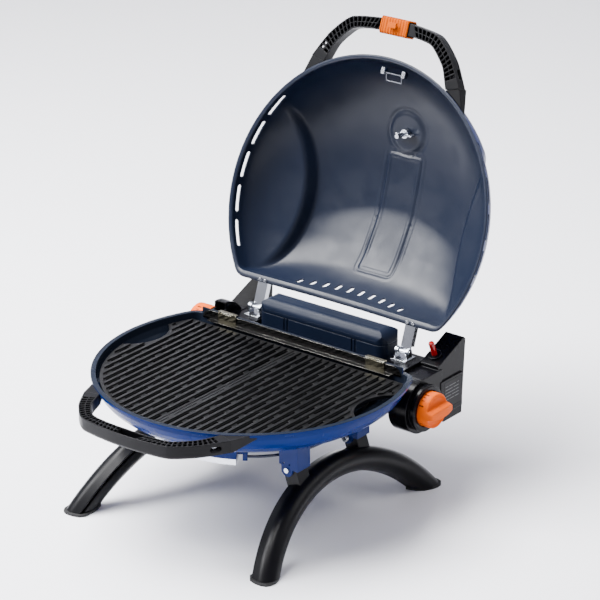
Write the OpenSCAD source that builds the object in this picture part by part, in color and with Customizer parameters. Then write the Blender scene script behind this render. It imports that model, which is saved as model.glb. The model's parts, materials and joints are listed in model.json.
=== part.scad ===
// Folding camp grill: a round gas grill bowl on two folding arched legs, with a
// domed lid on a rear hinge, two side burner controls and a carrying handle on each shell.
// Front is -Y, the hinge is at +Y, and the legs stand on Z = 0.

/* [Bowl] */
// Radius of the bowl and lid rims
rim_r = 235; // [228:1:242]
// Height of the bowl rim above the ground
rim_z = 211; // [209:0.5:213]
// Depth of the bowl under its rim
bowl_depth = 74; // [70:1:78]
// Distance from the centre to the flat rear edge of the bowl
bowl_chord = 119; // [117:0.5:120]
// Thickness of the bowl and lid walls
wall = 2.4; // [2:0.1:3]
// Width of the rim flange
lip_w = 5; // [4:0.5:6]

/* [Lid] */
// Distance from the centre to the flat rear edge of the lid
lid_chord = 141; // [139:0.5:143]
// Height of the raised middle of the lid
lid_depth = 114; // [110:1:118]
// Height of the lid's side cheeks, if they ran to the middle
cheek_depth = 90; // [86:1:94]
// Angle by which the open lid leans back from its closed position
lid_open = 110; // [100:1:112]

/* [Hinge] */
// Distance from the centre to the hinge pins
hinge_y = 180; // [178:0.5:182]
// Height of the hinge pins
hinge_z = 210.5; // [209.5:0.5:211]
// Distance from the centre to the middle of each hinge
hinge_x = 139; // [138:0.5:141]

/* [Grate] */
// Radius of the cooking grate
grate_r = 222; // [218:1:223]
// Spacing of the grate ribs
rib_pitch = 13; // [12:0.5:14]

/* [Legs] */
// Distance from the centre to the leg pivots
pivot_x = 130; // [129:0.5:131]
// Height of the leg pivots
pivot_z = 115; // [114:0.5:116]
// Distance from the centre line to each pair of leg brackets
bracket_y = 70; // [66:1:74]
// Angle by which the open legs lean outwards
leg_lean = 19; // [18:0.5:20]

/* [Controls] */
// Distance from the centre to the knob axes along Y
knob_y = 144.5; // [143:0.5:146]
// Height of the right knob's axis
knob_z_right = 151; // [150:0.5:152]
// Height of the left knob's axis
knob_z_left = 181; // [180:0.5:182]
// Radius of a control knob
knob_r = 26.5; // [24:0.5:28]
// Length of a control knob
knob_len = 42.5; // [41:0.5:44]

/* [Hidden] */
datum_y = 50;            // middle of the open grill's length, from the centre of the bowl

$fn = 96;
cut = 0.02;              // overshoot of a cut through a face
part_gap = 0.3;          // clearance between parts that move apart
shell_power = 2.3;       // superellipse power of the bowl and lid sections
shell_steps = 14;        // segments along a shell section
corner_r = 22;           // radius of the rear corners of both rims

wall_r = rim_r - lip_w;
bowl_wall_chord = bowl_chord - lip_w;
lid_gap = 0.6;           // gap between the closed rims
lid_z = rim_z + lid_gap;
lip_h = 4;
lid_lip_h = 3;
rear_flange = 8;         // width of the lid's rear flange
lid_wall_chord = lid_chord - rear_flange;
upstand = 10;            // height of the bowl's rear wall above the rim

grate_z = rim_z - 13;    // underside of the grate
plate_t = 5;
rib_h = 2.5;
rib_w = 5;
slot_w = 6.2;
slot_len = 50;
slot_bridge = 11;
split_gap = 0.8;         // half the gap between the two grate halves
grate_rear = 100;
grate_border = 9;

tower_in = 165.6;        // inner face of a control tower
tower_out = 198.6;
tower_top = 225.5;
tower_back = 254;
tower_front = 186;
tower_front_top = 198.5;
tower_bottom = 105.5;
skin = 2.5;              // wall of the plastic housings
top_edge = 4;            // bevel of a tower's rear top edge
slope = atan2(tower_top - tower_front_top, tower_back - top_edge - tower_front);
pod_right = [200, 193];  // outer face and top of the pod that joins a tower and its knob
pod_left = [188, 200];
ring_out = 211;          // front face of the ring round the right knob

bar_back = 204;
bar_front = 121;
bar_z0 = 138;
bar_z1 = 186;
bar_end_z = 199;         // top of the raised blocks that carry the hinges
bar_end_x = 122;
bar_end_y = 128;

arm_w = 18;
arm_t = 2;
pin_r = 2.5;
run_fit = 0.05;

handle_t = 19.5;
bowl_handle_z = rim_z - 19;
lid_handle_z = rim_z + 2;

post_w = 24;
leg_r_out = 250;
leg_r_in = 214;
leg_depth = 30;
leg_u = -139;            // centre of the arch along the leg, from the ground
leg_wall = 3;
pin_d = 6;               // distance of the pivot outside the leg's inner plane
pin_u = (pivot_z - pin_d * sin(leg_lean)) / cos(leg_lean);
foot_x = pivot_x + pin_u * sin(leg_lean) - pin_d * cos(leg_lean);
head_r = 9;              // rounded head of a leg post
pad_h = 4;               // height of a rubber foot
pad_y = -192;            // where a rubber foot's outline is drawn from
sole_h = 2;              // its thickness under the leg

// ---------------------------------------------------------------- helpers

function super_curve(a, b) = [for (i = [0 : shell_steps])
    let (t = 90 * i / shell_steps)
    [a * pow(cos(t), 2 / shell_power), b * pow(sin(t), 2 / shell_power)]];

function super_height(r, a, b) = b * pow(1 - pow(r / a, shell_power), 1 / shell_power);

// A rim outline: a circle with a flat rear edge and rounded rear corners.
module rim_outline(r, chord, corner) {
    cx = sqrt(pow(r - corner, 2) - pow(chord - corner, 2));
    cy = chord - corner;
    k = r / (r - corner);
    difference() {
        intersection() {
            circle(r, $fn = 180);
            translate([-r, -r]) square([2 * r, r + chord]);
        }
        for (s = [-1, 1])
            polygon([[s * cx, cy], [s * cx, chord + 1], [s * r, chord + 1], [s * cx * k, cy * k]]);
    }
    for (s = [-1, 1]) translate([s * cx, cy]) circle(corner, $fn = 48);
}

// A domed solid over a rim outline, with its own softer rear slope.
module dome(r, chord, depth, rear, corner) {
    intersection() {
        rotate_extrude($fn = 180) polygon(concat([[0, 0]], super_curve(r, depth)));
        rotate([90, 0, 90]) linear_extrude(2 * r + 2, center = true)
            polygon(concat([[-r - 1, 0]],
                [for (p = super_curve(rear, depth + 0.5)) [chord - rear + p[0], p[1]]],
                [[-r - 1, depth + 0.5]]));
        linear_extrude(depth + 1) rim_outline(r, chord, corner);
    }
}

// Puts a part, drawn about the centre of the bowl, in the frame of the whole grill.
module in_frame() {
    translate([0, -datum_y, 0]) children();
}

module in_lid() {
    translate([0, hinge_y, hinge_z]) rotate([-lid_open, 0, 0])
        translate([0, -hinge_y, -hinge_z]) children();
}

// Places children at +X and, mirrored, at -X.
module both_sides() {
    children();
    mirror([1, 0, 0]) children();
}

module along_x(r, x0, x1) {
    translate([x0, 0, 0]) rotate([0, 90, 0]) cylinder(r = r, h = x1 - x0);
}

module along_y(r, y0, y1) {
    translate([0, y0, 0]) rotate([-90, 0, 0]) cylinder(r = r, h = y1 - y0);
}

// ---------------------------------------------------------------- bowl

bowl_rear = 60;          // run of the bowl's rear wall curve
lug_r0 = 203;
lug_z0 = 186;
port_r = 10.5;

module bowl_solid(grow) {
    translate([0, 0, rim_z]) mirror([0, 0, 1])
        dome(wall_r + grow, bowl_wall_chord + grow, bowl_depth + grow, bowl_rear, corner_r - lip_w);
}

module bowl() {
    color("#1c5fb4") in_frame() {
        difference() {
            union() {
                bowl_solid(0);
                translate([0, 0, rim_z - lip_h]) linear_extrude(lip_h)
                    rim_outline(rim_r, bowl_chord, corner_r);
                translate([-188, bowl_wall_chord - wall, rim_z - 1]) cube([376, wall, upstand + 1]);
                for (x = [-90, 90]) translate([x, 0, 172]) along_y(8, 100, bar_front);
            }
            translate([0, 0, rim_z + cut]) mirror([0, 0, 1])
                dome(wall_r - wall, bowl_wall_chord - wall, bowl_depth - wall + cut,
                    bowl_rear, corner_r - lip_w);
            both_sides() translate([burner_x, 0, burner_z]) along_y(port_r, 80, bowl_chord - 1);
            translate([electrode_x, 0, electrode_z]) along_y(3, 100, bowl_chord - 1);
            translate([0, -105, rim_z - bowl_depth - 5]) cylinder(r = 6, h = 30);
        }
        // four cast lugs carry the grate
        intersection() {
            for (a = [28, 152, 222, 318])
                rotate([0, 0, a]) translate([lug_r0, -8, lug_z0])
                    cube([30, 16, grate_z - lug_z0 - part_gap]);
            bowl_solid(-wall / 2);
        }
    }
}

// ---------------------------------------------------------------- grate

module grate_outline(inset) {
    difference() {
        intersection() {
            circle(grate_r - inset, $fn = 180);
            translate([split_gap + inset * 0.5, -grate_r]) square([grate_r, grate_r + grate_rear - inset]);
        }
        // finger cut-out at the side
        translate([247, 14]) circle(58 + inset);
    }
}

module grate_slots() {
    row = slot_len + slot_bridge;
    for (i = [0 : 16], j = [-4 : 2])
        translate([rib_pitch * (i + 0.5), row * (j + (i % 2) / 2)])
            translate([-slot_w / 2, 0]) square([slot_w, slot_len]);
}

module half_grate() {
    translate([0, 0, grate_z]) linear_extrude(plate_t) difference() {
        grate_outline(0);
        intersection() {
            grate_slots();
            grate_outline(grate_border);
        }
    }
    translate([0, 0, grate_z + plate_t - cut]) linear_extrude(rib_h) intersection() {
        for (i = [1 : 17]) translate([rib_pitch * i - rib_w / 2, -grate_r]) square([rib_w, 2 * grate_r]);
        grate_outline(grate_border - 4);
    }
}

module grate_right() {
    color("#2a2a2d") in_frame() half_grate();
}

module grate_left() {
    color("#2a2a2d") in_frame() mirror([1, 0, 0]) half_grate();
}

strip_x = 186;
strip_corner = 14;
strip_t = 1.2;
strip_y = bowl_wall_chord - wall - strip_t - part_gap;
strip_z = grate_z + plate_t + rib_h + 0.4;
strip_h = rim_z + upstand - 1 - strip_z;

module guard_strip() {
    color("#8d8a80") in_frame() {
        translate([0, strip_y + strip_t, 0]) rotate([90, 0, 0]) linear_extrude(strip_t) {
            translate([-strip_x + strip_corner, strip_z])
                square([2 * (strip_x - strip_corner), strip_h]);
            for (s = [-1, 1]) intersection() {
                translate([s * (strip_x - strip_corner), strip_z + strip_h - strip_corner])
                    circle(strip_corner);
                translate([-strip_x, strip_z]) square([2 * strip_x, strip_h]);
            }
        }
        translate([-strip_x + strip_corner, strip_y - 8, strip_z])
            cube([2 * (strip_x - strip_corner), 8 + cut, strip_t]);
    }
}

clip_w = 34;

module guard_clips() {
    color("#b7ad86") in_frame() for (x = [-138, 140]) translate([x - clip_w / 2, 0, 0]) {
        translate([0, strip_y - strip_t, strip_z + strip_t]) cube([clip_w, strip_t, strip_h]);
        translate([0, strip_y - strip_t, strip_z + strip_h + strip_t + 1])
            cube([clip_w, bowl_wall_chord - strip_y + 2 * strip_t + 0.2, strip_t]);
        translate([0, bowl_wall_chord + 0.1, strip_z + strip_h - 6])
            cube([clip_w, strip_t, 8.5]);
    }
}

// ---------------------------------------------------------------- gas train

burner_z = 170;
burner_r = 9;
burner_wall = 1;
burner_x = 140;          // outer run of a burner
loop_r = 46;
inner_x = burner_x - 2 * loop_r;
loop_y = -72;
burner_end_y = 62;
feed_y = 128;            // where a burner meets its valve
flame_port_r = 1.25;
port_pitch = 12;

// A hairpin of tube: out along Y, round the front and back, closed at its inner end.
module burner_path(r, end) {
    translate([burner_x, 0, 0]) along_y(r, loop_y, feed_y);
    translate([burner_x - loop_r, loop_y, 0]) rotate([0, 0, 180])
        rotate_extrude(angle = 180) translate([loop_r, 0]) circle(r, $fn = 48);
    translate([inner_x, 0, 0]) along_y(r, loop_y, end);
}

module burner() {
    translate([0, 0, burner_z]) difference() {
        burner_path(burner_r, burner_end_y);
        burner_path(burner_r - burner_wall, burner_end_y - burner_wall);
        for (x = [burner_x, inner_x], y = [loop_y : port_pitch : burner_end_y - port_pitch])
            translate([x, y, 0]) cylinder(r = flame_port_r, h = burner_r + 1);
    }
}

module burner_right() {
    color("#9a9a9c") in_frame() burner();
}

module burner_left() {
    color("#9a9a9c") in_frame() mirror([1, 0, 0]) burner();
}

rest_z = 141;

// A saddle plate under the two runs of each burner.
module burner_rests() {
    color("#8a8a8c") in_frame() both_sides() difference() {
        translate([inner_x - 14, -22, rest_z]) cube([2 * loop_r + 28, 3, burner_z - rest_z]);
        for (x = [burner_x, inner_x]) translate([x, 0, burner_z]) along_y(burner_r, -30, 0);
        bowl_outside();
    }
}

// Everything under the inside face of the bowl floor.
module bowl_outside() {
    difference() {
        translate([-250, -40, 120]) cube([500, 40, 60]);
        translate([0, 0, rim_z]) mirror([0, 0, 1])
            dome(wall_r - wall, bowl_wall_chord - wall, bowl_depth - wall, bowl_rear, corner_r - lip_w);
    }
}

stem_r = 4;
bonnet_r = 9;
valve_y0 = 132;
valve_y1 = 158;
valve_half = 10;
bonnet_out = 193;

module valve(axis_z) {
    z0 = min(burner_z, axis_z) - valve_half;
    z1 = max(burner_z, axis_z) + valve_half;
    difference() {
        union() {
            translate([burner_x, 0, burner_z])
                along_y(burner_r - burner_wall - 0.1, feed_y - 8, valve_y0 + 1);
            translate([burner_x - valve_half, valve_y0, z0])
                cube([2 * valve_half, valve_y1 - valve_y0, z1 - z0]);
            translate([0, knob_y, axis_z]) along_x(bonnet_r, burner_x + 5, bonnet_out);
        }
        translate([0, knob_y, axis_z]) along_x(stem_r + run_fit, burner_x, bonnet_out + 1);
    }
}

module valve_right() {
    color("#b08d3c") in_frame() valve(knob_z_right);
}

module valve_left() {
    color("#b08d3c") in_frame() mirror([1, 0, 0]) valve(knob_z_left);
}

knob_x0 = 196;           // back face of a knob
socket_len = 12;
stem_flat = 1.5;

module valve_stem(axis_z) {
    translate([0, knob_y, axis_z]) {
        along_x(stem_r, burner_x + 2, knob_x0);
        intersection() {
            along_x(stem_r, knob_x0 - 1, knob_x0 + socket_len);
            translate([knob_x0 - 1, -stem_r, -stem_r])
                cube([socket_len + 1, 2 * stem_r, 2 * stem_r - stem_flat]);
        }
    }
}

module valve_stem_right() {
    color("#c9c9cc") in_frame() valve_stem(knob_z_right);
}

module valve_stem_left() {
    color("#c9c9cc") in_frame() mirror([1, 0, 0]) valve_stem(knob_z_left);
}

pipe_y = 172;
pipe_z = 165;
pipe_r = 4;

module manifold_pipe() {
    // a straight cross pipe with an elbow and a short branch to each valve
    color("#b7b7b9") in_frame() {
        translate([0, pipe_y, pipe_z]) along_x(pipe_r, -burner_x, burner_x);
        both_sides() translate([burner_x, 0, pipe_z]) {
            translate([0, pipe_y, 0]) sphere(r = pipe_r + 1.4);
            along_y(pipe_r - 0.8, valve_y1, pipe_y);
        }
    }
}

inlet_x = -60;
inlet_r = 4.5;

module gas_inlet() {
    color("#b5923e") in_frame() translate([inlet_x, 0, pipe_z]) difference() {
        union() {
            along_y(inlet_r, pipe_y + pipe_r + cut, bar_back + 5);
            translate([0, cover_y1 + part_gap, 0]) rotate([-90, 30, 0])
                cylinder(r = 9.5, h = bar_back + 6 - cover_y1 - part_gap, $fn = 6);
            along_y(6.5, bar_back + 5, bar_back + 20);
        }
        along_y(3, pipe_y + 12, bar_back + 25);
    }
}

// ---------------------------------------------------------------- controls

skirt_len = knob_len - 12;
grip_half = 5.5;

module knob(axis_z) {
    translate([knob_x0, knob_y, axis_z]) rotate([0, 90, 0]) difference() {
        union() {
            rotate_extrude() polygon([[0, 0], [knob_r, 0], [knob_r, skirt_len],
                [knob_r - 1, skirt_len + 2], [knob_r - 3.5, skirt_len + 4], [0, skirt_len + 5]]);
            // the grip bar across the face
            intersection() {
                translate([-grip_half, -knob_r, skirt_len])
                    cube([2 * grip_half, 2 * knob_r, knob_len - skirt_len]);
                rotate_extrude() polygon([[0, 0], [knob_r - 1, 0], [knob_r - 1, knob_len - 5],
                    [knob_r - 4, knob_len], [0, knob_len]]);
            }
        }
        // D-shaped socket for the valve stem
        translate([0, 0, -cut]) intersection() {
            cylinder(r = stem_r, h = socket_len + 0.5);
            translate([-stem_r + stem_flat, -stem_r, 0]) cube([2 * stem_r, 2 * stem_r, socket_len + 1]);
        }
        // hollow skirt
        translate([0, 0, -cut]) difference() {
            cylinder(r = knob_r - 3, h = skirt_len - 5);
            cylinder(r = bonnet_r, h = skirt_len - 5);
        }
    }
}

module knob_right() {
    color("#f08a24") in_frame() knob(knob_z_right);
}

module knob_left() {
    color("#f08a24") in_frame() mirror([1, 0, 0]) knob(knob_z_left);
}

// Side view of a control tower, with every face moved in by the inset.
module tower_side(inset) {
    polygon([[tower_front + inset, tower_bottom + 14 + inset],
        [tower_front + 14 + inset, tower_bottom + inset],
        [tower_back - 8 - inset, tower_bottom + inset],
        [tower_back - inset, tower_top - top_edge - inset],
        [tower_back - top_edge - inset, tower_top - inset],
        [tower_front + inset, tower_front_top - inset]]);
}

collar_y = 204.3;        // where the igniter stands on the sloping top
collar_z = tower_front_top + (collar_y - tower_front) * tan(slope);
collar_x = 179;
collar_hole_r = 8;

module at_igniter() {
    translate([collar_x, collar_y, collar_z]) rotate([slope, 0, 0]) children();
}

pod_low = 20;            // bottom of a pod below the knob axis
pod_back = tower_front + 8;
lobe_r = 41;
ring_r0 = 35.5;
label_y = 198;
label_z = 127;
label_size = [43, 42];

// Box and lobe that join a tower to its knob; size holds the outer face and the top.
module pod_outside(axis_z, size) {
    translate([tower_in, knob_y, axis_z - pod_low])
        cube([size[0] - tower_in, pod_back - knob_y, size[1] - axis_z + pod_low]);
    translate([0, knob_y, axis_z]) along_x(lobe_r, tower_in + 3, size[0]);
}

module pod_inside(axis_z, size) {
    translate([tower_in + skin, knob_y, axis_z - pod_low + skin])
        cube([size[0] - tower_in - 2 * skin, pod_back - knob_y + 4,
            size[1] - axis_z + pod_low - 2 * skin]);
    translate([0, knob_y, axis_z]) {
        along_x(lobe_r - skin, tower_in + 3 + skin, size[0] - skin);
        along_x(bonnet_r + 0.4, tower_in - 1, bonnet_out + 10);
    }
}

// A hollow control housing; the lid's closed rim passes over it.
module housing(axis_z, size) {
    difference() {
        union() {
            rotate([90, 0, 90]) translate([0, 0, tower_in]) linear_extrude(tower_out - tower_in)
                tower_side(0);
            pod_outside(axis_z, size);
            translate([tower_out - 1, tower_front + 4, label_z - 8])
                cube([3.6, label_y + label_size[0] + 3 - tower_front - 4, label_size[1] + 12]);
        }
        rotate([90, 0, 90]) translate([0, 0, tower_in + skin])
            linear_extrude(tower_out - tower_in - 2 * skin) tower_side(skin);
        pod_inside(axis_z, size);
        // room for the bowl, its rim and the lid's rim
        bowl_solid(0.6);
        translate([0, 0, rim_z - lip_h - 0.6]) linear_extrude(lip_h + 30)
            rim_outline(rim_r + 0.7, bowl_chord + 0.7, corner_r);
        translate([0, 0, rim_z - 0.6]) linear_extrude(40)
            rim_outline(rim_r + 0.7, lid_chord + 3, corner_r);
        // seat of the label
        translate([tower_out + 1.8, label_y, label_z]) cube([2, label_size[0], label_size[1]]);
    }
}

// The ring stands round the skirt of the right knob.
module knob_ring() {
    translate([0, knob_y, knob_z_right]) difference() {
        union() {
            along_x(ring_r0 - 2.5, pod_right[0] - 1, ring_out);
            along_x(ring_r0, ring_out - 6, ring_out - 1);
        }
        along_x(knob_r + 1.5, pod_right[0] - 2, ring_out + 1);
    }
}

module housing_right() {
    color("#1b1b1d") in_frame() {
        difference() {
            housing(knob_z_right, pod_right);
            at_igniter() cylinder(r = collar_hole_r, h = 20, center = true);
            // recess of the knob's skirt, and the way out of the spark lead
            translate([0, knob_y, knob_z_right]) along_x(knob_r + 1.5, bonnet_out + 1, ring_out);
            translate([electrode_x, 0, electrode_z]) along_y(electrode_r + 0.3, 100, 130);
        }
        knob_ring();
    }
}

module housing_left() {
    color("#1b1b1d") in_frame() mirror([1, 0, 0]) difference() {
        housing(knob_z_left, pod_left);
        // vent in the blind side of the pod
        translate([pod_left[0] - 4, pod_back - 18, knob_z_left - 8]) cube([8, 10, 4]);
    }
}

module control_label() {
    color("#4a4c50") in_frame() both_sides() translate([tower_out + 1.8, label_y + 0.2, label_z + 0.2])
        cube([0.9, label_size[0] - 0.4, label_size[1] - 0.4]);
}

module igniter_collar() {
    color("#101012") in_frame() at_igniter() difference() {
        union() {
            translate([0, 0, cut]) cylinder(r = 10.5, h = 3);
            translate([0, 0, -6]) cylinder(r = collar_hole_r - 0.1, h = 7);
        }
        translate([0, 0, -10]) cylinder(r = 4.8, h = 20);
    }
}

button_top = 26;

module igniter_button() {
    color("#c41c24") in_frame() at_igniter() {
        translate([0, 0, -10]) cylinder(r = 4.4, h = button_top + 8.5);
        translate([0, 0, button_top - 1.6]) cylinder(r1 = 4.3, r2 = 3.6, h = 1.6);
        translate([0, 0, -10]) cylinder(r = 6.2, h = 2);
    }
}

module igniter_body() {
    color("#e8e4da") in_frame() at_igniter() difference() {
        translate([0, 0, -48]) cylinder(r = 8.4, h = 41.5);
        translate([0, 0, -38]) cylinder(r = 6.6, h = 40);
    }
}

module igniter_spring() {
    color("#b9b9bb") in_frame() at_igniter() for (k = [0 : 4])
        translate([0, 0, -36 + 3.6 * k]) rotate_extrude() translate([4.6, 0]) circle(0.6, $fn = 16);
}

lead_r = 1.5;
elbow_r = 2.2;
lead_len = 56;           // depth at which the lead turns forward
lead_turn_y = 175;
electrode_x = 179;
electrode_z = 182;
electrode_r = 2.2;

// The lead runs forward inside the housing, up, and forward again to the electrode.
module igniter_lead() {
    top_y = collar_y + lead_len * sin(slope);
    top_z = collar_z - lead_len * cos(slope);
    color("#3a3a3c") in_frame() {
        at_igniter() translate([0, 0, -lead_len]) cylinder(r = lead_r, h = lead_len - 48);
        translate([electrode_x, 0, 0]) {
            translate([0, top_y, top_z]) sphere(r = elbow_r, $fn = 24);
            translate([0, 0, top_z]) along_y(lead_r, lead_turn_y, top_y);
            translate([0, lead_turn_y, top_z]) sphere(r = elbow_r, $fn = 24);
            translate([0, lead_turn_y, top_z]) cylinder(r = lead_r, h = electrode_z - top_z);
            translate([0, lead_turn_y, electrode_z]) sphere(r = elbow_r, $fn = 24);
            translate([0, 0, electrode_z]) along_y(lead_r, 128, lead_turn_y);
        }
    }
}

module spark_electrode() {
    // a ceramic post with a thin wire tip
    color("#ece7dc") in_frame() translate([electrode_x, 0, electrode_z]) {
        along_y(electrode_r, 98, 128);
        along_y(0.8, 86, 98);
    }
}

// ---------------------------------------------------------------- rear body

module bar_section(inset) {
    translate([bar_front + inset, bar_z0 + inset])
        square([bar_back - bar_front - 2 * inset, bar_z1 - bar_z0 - 2 * inset]);
}

module bar_end(inset) {
    translate([bar_end_x + inset, bar_end_y + inset, bar_z1 - 10])
        cube([tower_in - bar_end_x - 2 * inset, bar_back - bar_end_y - 2 * inset,
            bar_end_z - bar_z1 + 10 - inset]);
}

module rear_crossbar() {
    color("#1b1b1d") in_frame() difference() {
        union() {
            rotate([90, 0, 90]) linear_extrude(2 * tower_in, center = true) bar_section(0);
            both_sides() bar_end(0);
        }
        rotate([90, 0, 90]) linear_extrude(2 * (tower_in - skin), center = true) bar_section(skin);
        both_sides() bar_end(skin);
        bowl_solid(0.6);
        // ways through for the burners and the valves
        both_sides() translate([burner_x, 0, burner_z]) along_y(burner_r + 0.4, bar_front - 1, 130);
        translate([0, knob_y, knob_z_right]) along_x(bonnet_r + 0.4, tower_in - 5, tower_in + 1);
        translate([0, knob_y, knob_z_left]) along_x(bonnet_r + 0.4, -tower_in - 1, -tower_in + 5);
        // seat of the slate cover and the hole of the gas inlet
        translate([-cover_x - 0.3, cover_y0 - 0.3, cover_z0]) cube([2 * cover_x + 0.6, bar_back, 40]);
        translate([inlet_x, 0, pipe_z]) along_y(inlet_r + part_gap, bar_back - 10, bar_back + 5);
        // vents in the rear face
        for (x = [0 : 18 : 126]) translate([x, bar_back - 5, 150]) cube([8, 10, 4]);
    }
}

cover_x = 118;
cover_y0 = 158;
cover_y1 = 205;
cover_z0 = 170;
seam_z = 218;
cover_top = 238;
cover_corner = 14;

module cover_outline(inset) {
    difference() {
        translate([-cover_x + inset, cover_y0 + inset])
            square([2 * (cover_x - inset), cover_y1 - cover_y0 - 2 * inset]);
        for (x = [-1, 1], y = [0, 1]) translate([x * cover_x, y == 0 ? cover_y0 : cover_y1])
            square(2 * cover_corner, center = true);
    }
    for (x = [-1, 1], y = [0, 1])
        translate([x * (cover_x - cover_corner), y == 0 ? cover_y0 + cover_corner : cover_y1 - cover_corner])
            circle(cover_corner - inset);
}

module rear_cover_base() {
    color("#3a4658") in_frame() translate([0, 0, cover_z0]) difference() {
        linear_extrude(seam_z - cover_z0) cover_outline(0);
        translate([0, 0, skin]) linear_extrude(seam_z) cover_outline(skin);
        for (x = [-64, 64], d = [-3, 3]) translate([x + d - 1.2, cover_y0 - 1, 26]) cube([2.4, 2.2, 30]);
    }
}

module rear_cover_top() {
    r = (cover_y1 - cover_y0) / 2;
    color("#3a4658") in_frame() difference() {
        intersection() {
            translate([0, 0, seam_z + 0.3]) linear_extrude(40) cover_outline(0);
            rotate([90, 0, 90]) linear_extrude(2 * cover_x, center = true) cover_hump(r, 0);
            rotate([90, 0, 0]) translate([0, 0, -cover_y1 - 1]) linear_extrude(cover_y1 - cover_y0 + 2)
                cover_front(0);
        }
        intersection() {
            translate([0, 0, seam_z]) linear_extrude(40) cover_outline(skin);
            rotate([90, 0, 90]) linear_extrude(2 * cover_x, center = true) cover_hump(r, skin);
            rotate([90, 0, 0]) translate([0, 0, -cover_y1 - 1]) linear_extrude(cover_y1 - cover_y0 + 2)
                cover_front(skin);
        }
    }
}

// Side view of the cover's rounded top.
module cover_hump(r, inset) {
    h = cover_top - seam_z;
    translate([cover_y0 + inset, seam_z - 1]) square([2 * (r - inset), h - 14 + 1]);
    translate([cover_y0 + 16, seam_z - 1]) square([2 * r - 32, h + 1 - inset]);
    for (y = [cover_y0 + 16, cover_y1 - 16])
        translate([y, cover_top - 16]) circle(16 - inset);
}

// Front view of the cover's rounded ends.
module cover_front(inset) {
    h = cover_top - seam_z;
    translate([-cover_x + inset, seam_z - 1]) square([2 * (cover_x - inset), h - 17]);
    translate([-cover_x + 18, seam_z - 1]) square([2 * cover_x - 36, h + 1 - inset]);
    for (x = [-1, 1]) translate([x * (cover_x - 18), cover_top - 18]) circle(18 - inset);
}

// ---------------------------------------------------------------- hinge

ear_r = 6.5;
ear_t = 2;

module ear(x0, t, z0) {
    translate([x0, hinge_y, hinge_z]) rotate([90, 0, 90]) linear_extrude(t) {
        circle(ear_r);
        translate([-ear_r, z0 - hinge_z]) square([2 * ear_r, hinge_z - z0]);
    }
}

module hinge_brackets() {
    color("#c6c8cc") in_frame() both_sides() difference() {
        union() {
            translate([hinge_x - 13, hinge_y - 13, bar_end_z]) cube([26, 26, 2]);
            for (x = [hinge_x - arm_w / 2 - 0.5 - ear_t, hinge_x + arm_w / 2 + 0.5])
                ear(x, ear_t, bar_end_z);
        }
        translate([0, hinge_y, hinge_z]) along_x(pin_r, hinge_x - 20, hinge_x + 20);
    }
}

module hinge_pins() {
    color("#d4d6da") in_frame() both_sides() translate([0, hinge_y, hinge_z]) {
        along_x(pin_r, hinge_x - 13, hinge_x + 13);
        along_x(4, hinge_x + 11.6, hinge_x + 13.4);
        along_x(3.6, hinge_x - 13.2, hinge_x - 11.6);
    }
}

web_z = lid_z + lid_lip_h;
rivet_y = lid_chord - 3.8;
rivet_x = 5;             // half the distance between an arm's two rivets
rivet_r = 1.8;

module hinge_arms() {
    flange = 9;
    color("#d0d2d6") in_frame() in_lid() both_sides() difference() {
        union() {
            translate([hinge_x - arm_w / 2, lid_wall_chord + 0.6, web_z])
                cube([arm_w, hinge_y + 3 - lid_wall_chord, arm_t]);
            for (x = [hinge_x - arm_w / 2, hinge_x + arm_w / 2 - arm_t]) {
                translate([x, lid_wall_chord + 8, web_z]) cube([arm_t, 30, flange]);
                ear_up(x, arm_t);
            }
        }
        translate([0, hinge_y, hinge_z]) along_x(pin_r + run_fit, hinge_x - 20, hinge_x + 20);
        for (x = [-rivet_x, rivet_x]) translate([hinge_x + x, rivet_y, web_z - 1])
            cylinder(r = rivet_r, h = 6);
    }
}

module ear_up(x0, t) {
    translate([x0, hinge_y, hinge_z]) rotate([90, 0, 90]) linear_extrude(t) {
        circle(5.5);
        translate([-5.5, 0]) square([11, web_z - hinge_z + arm_t]);
    }
}

module hinge_rivets() {
    color("#e2e4e8") in_frame() in_lid() both_sides() for (x = [-rivet_x, rivet_x])
        translate([hinge_x + x, rivet_y, lid_z]) {
            translate([0, 0, -1.6]) cylinder(r1 = 2, r2 = 3, h = 1.6);
            cylinder(r = rivet_r, h = lid_lip_h + arm_t);
            translate([0, 0, lid_lip_h + arm_t]) cylinder(r1 = 3, r2 = 2, h = 1.2);
        }
}

// ---------------------------------------------------------------- lid

lid_rear = 150;          // run of the lid's rear slope
crease_r = 258;          // plan radius of the crease beside each cheek
crease_x = 146;
side_slot_z = 9;
side_slot_h = 7;
gauge_y = -128;
gauge_tilt = 15.3;
gauge_r = 24;
gauge_h = super_height(128, wall_r, lid_depth);

module lid_solid(inset) {
    intersection() {
        dome(wall_r - inset, lid_wall_chord - inset, lid_depth - inset, lid_rear, corner_r - lip_w);
        union() {
            rotate_extrude($fn = 180)
                polygon(concat([[0, -1]], [[wall_r + 9 - inset, -1]],
                    super_curve(wall_r - inset, cheek_depth - inset)));
            difference() {
                translate([-200, -rim_r - 10, 0]) cube([400, 2 * rim_r, lid_depth + 2]);
                for (s = [-1, 1]) translate([s * (crease_x + crease_r), 10, -1])
                    cylinder(r = crease_r + inset, h = lid_depth + 10, $fn = 180);
            }
        }
    }
}

module at_gauge() {
    translate([0, gauge_y, lid_z + gauge_h]) rotate([gauge_tilt, 0, 0]) children();
}

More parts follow.
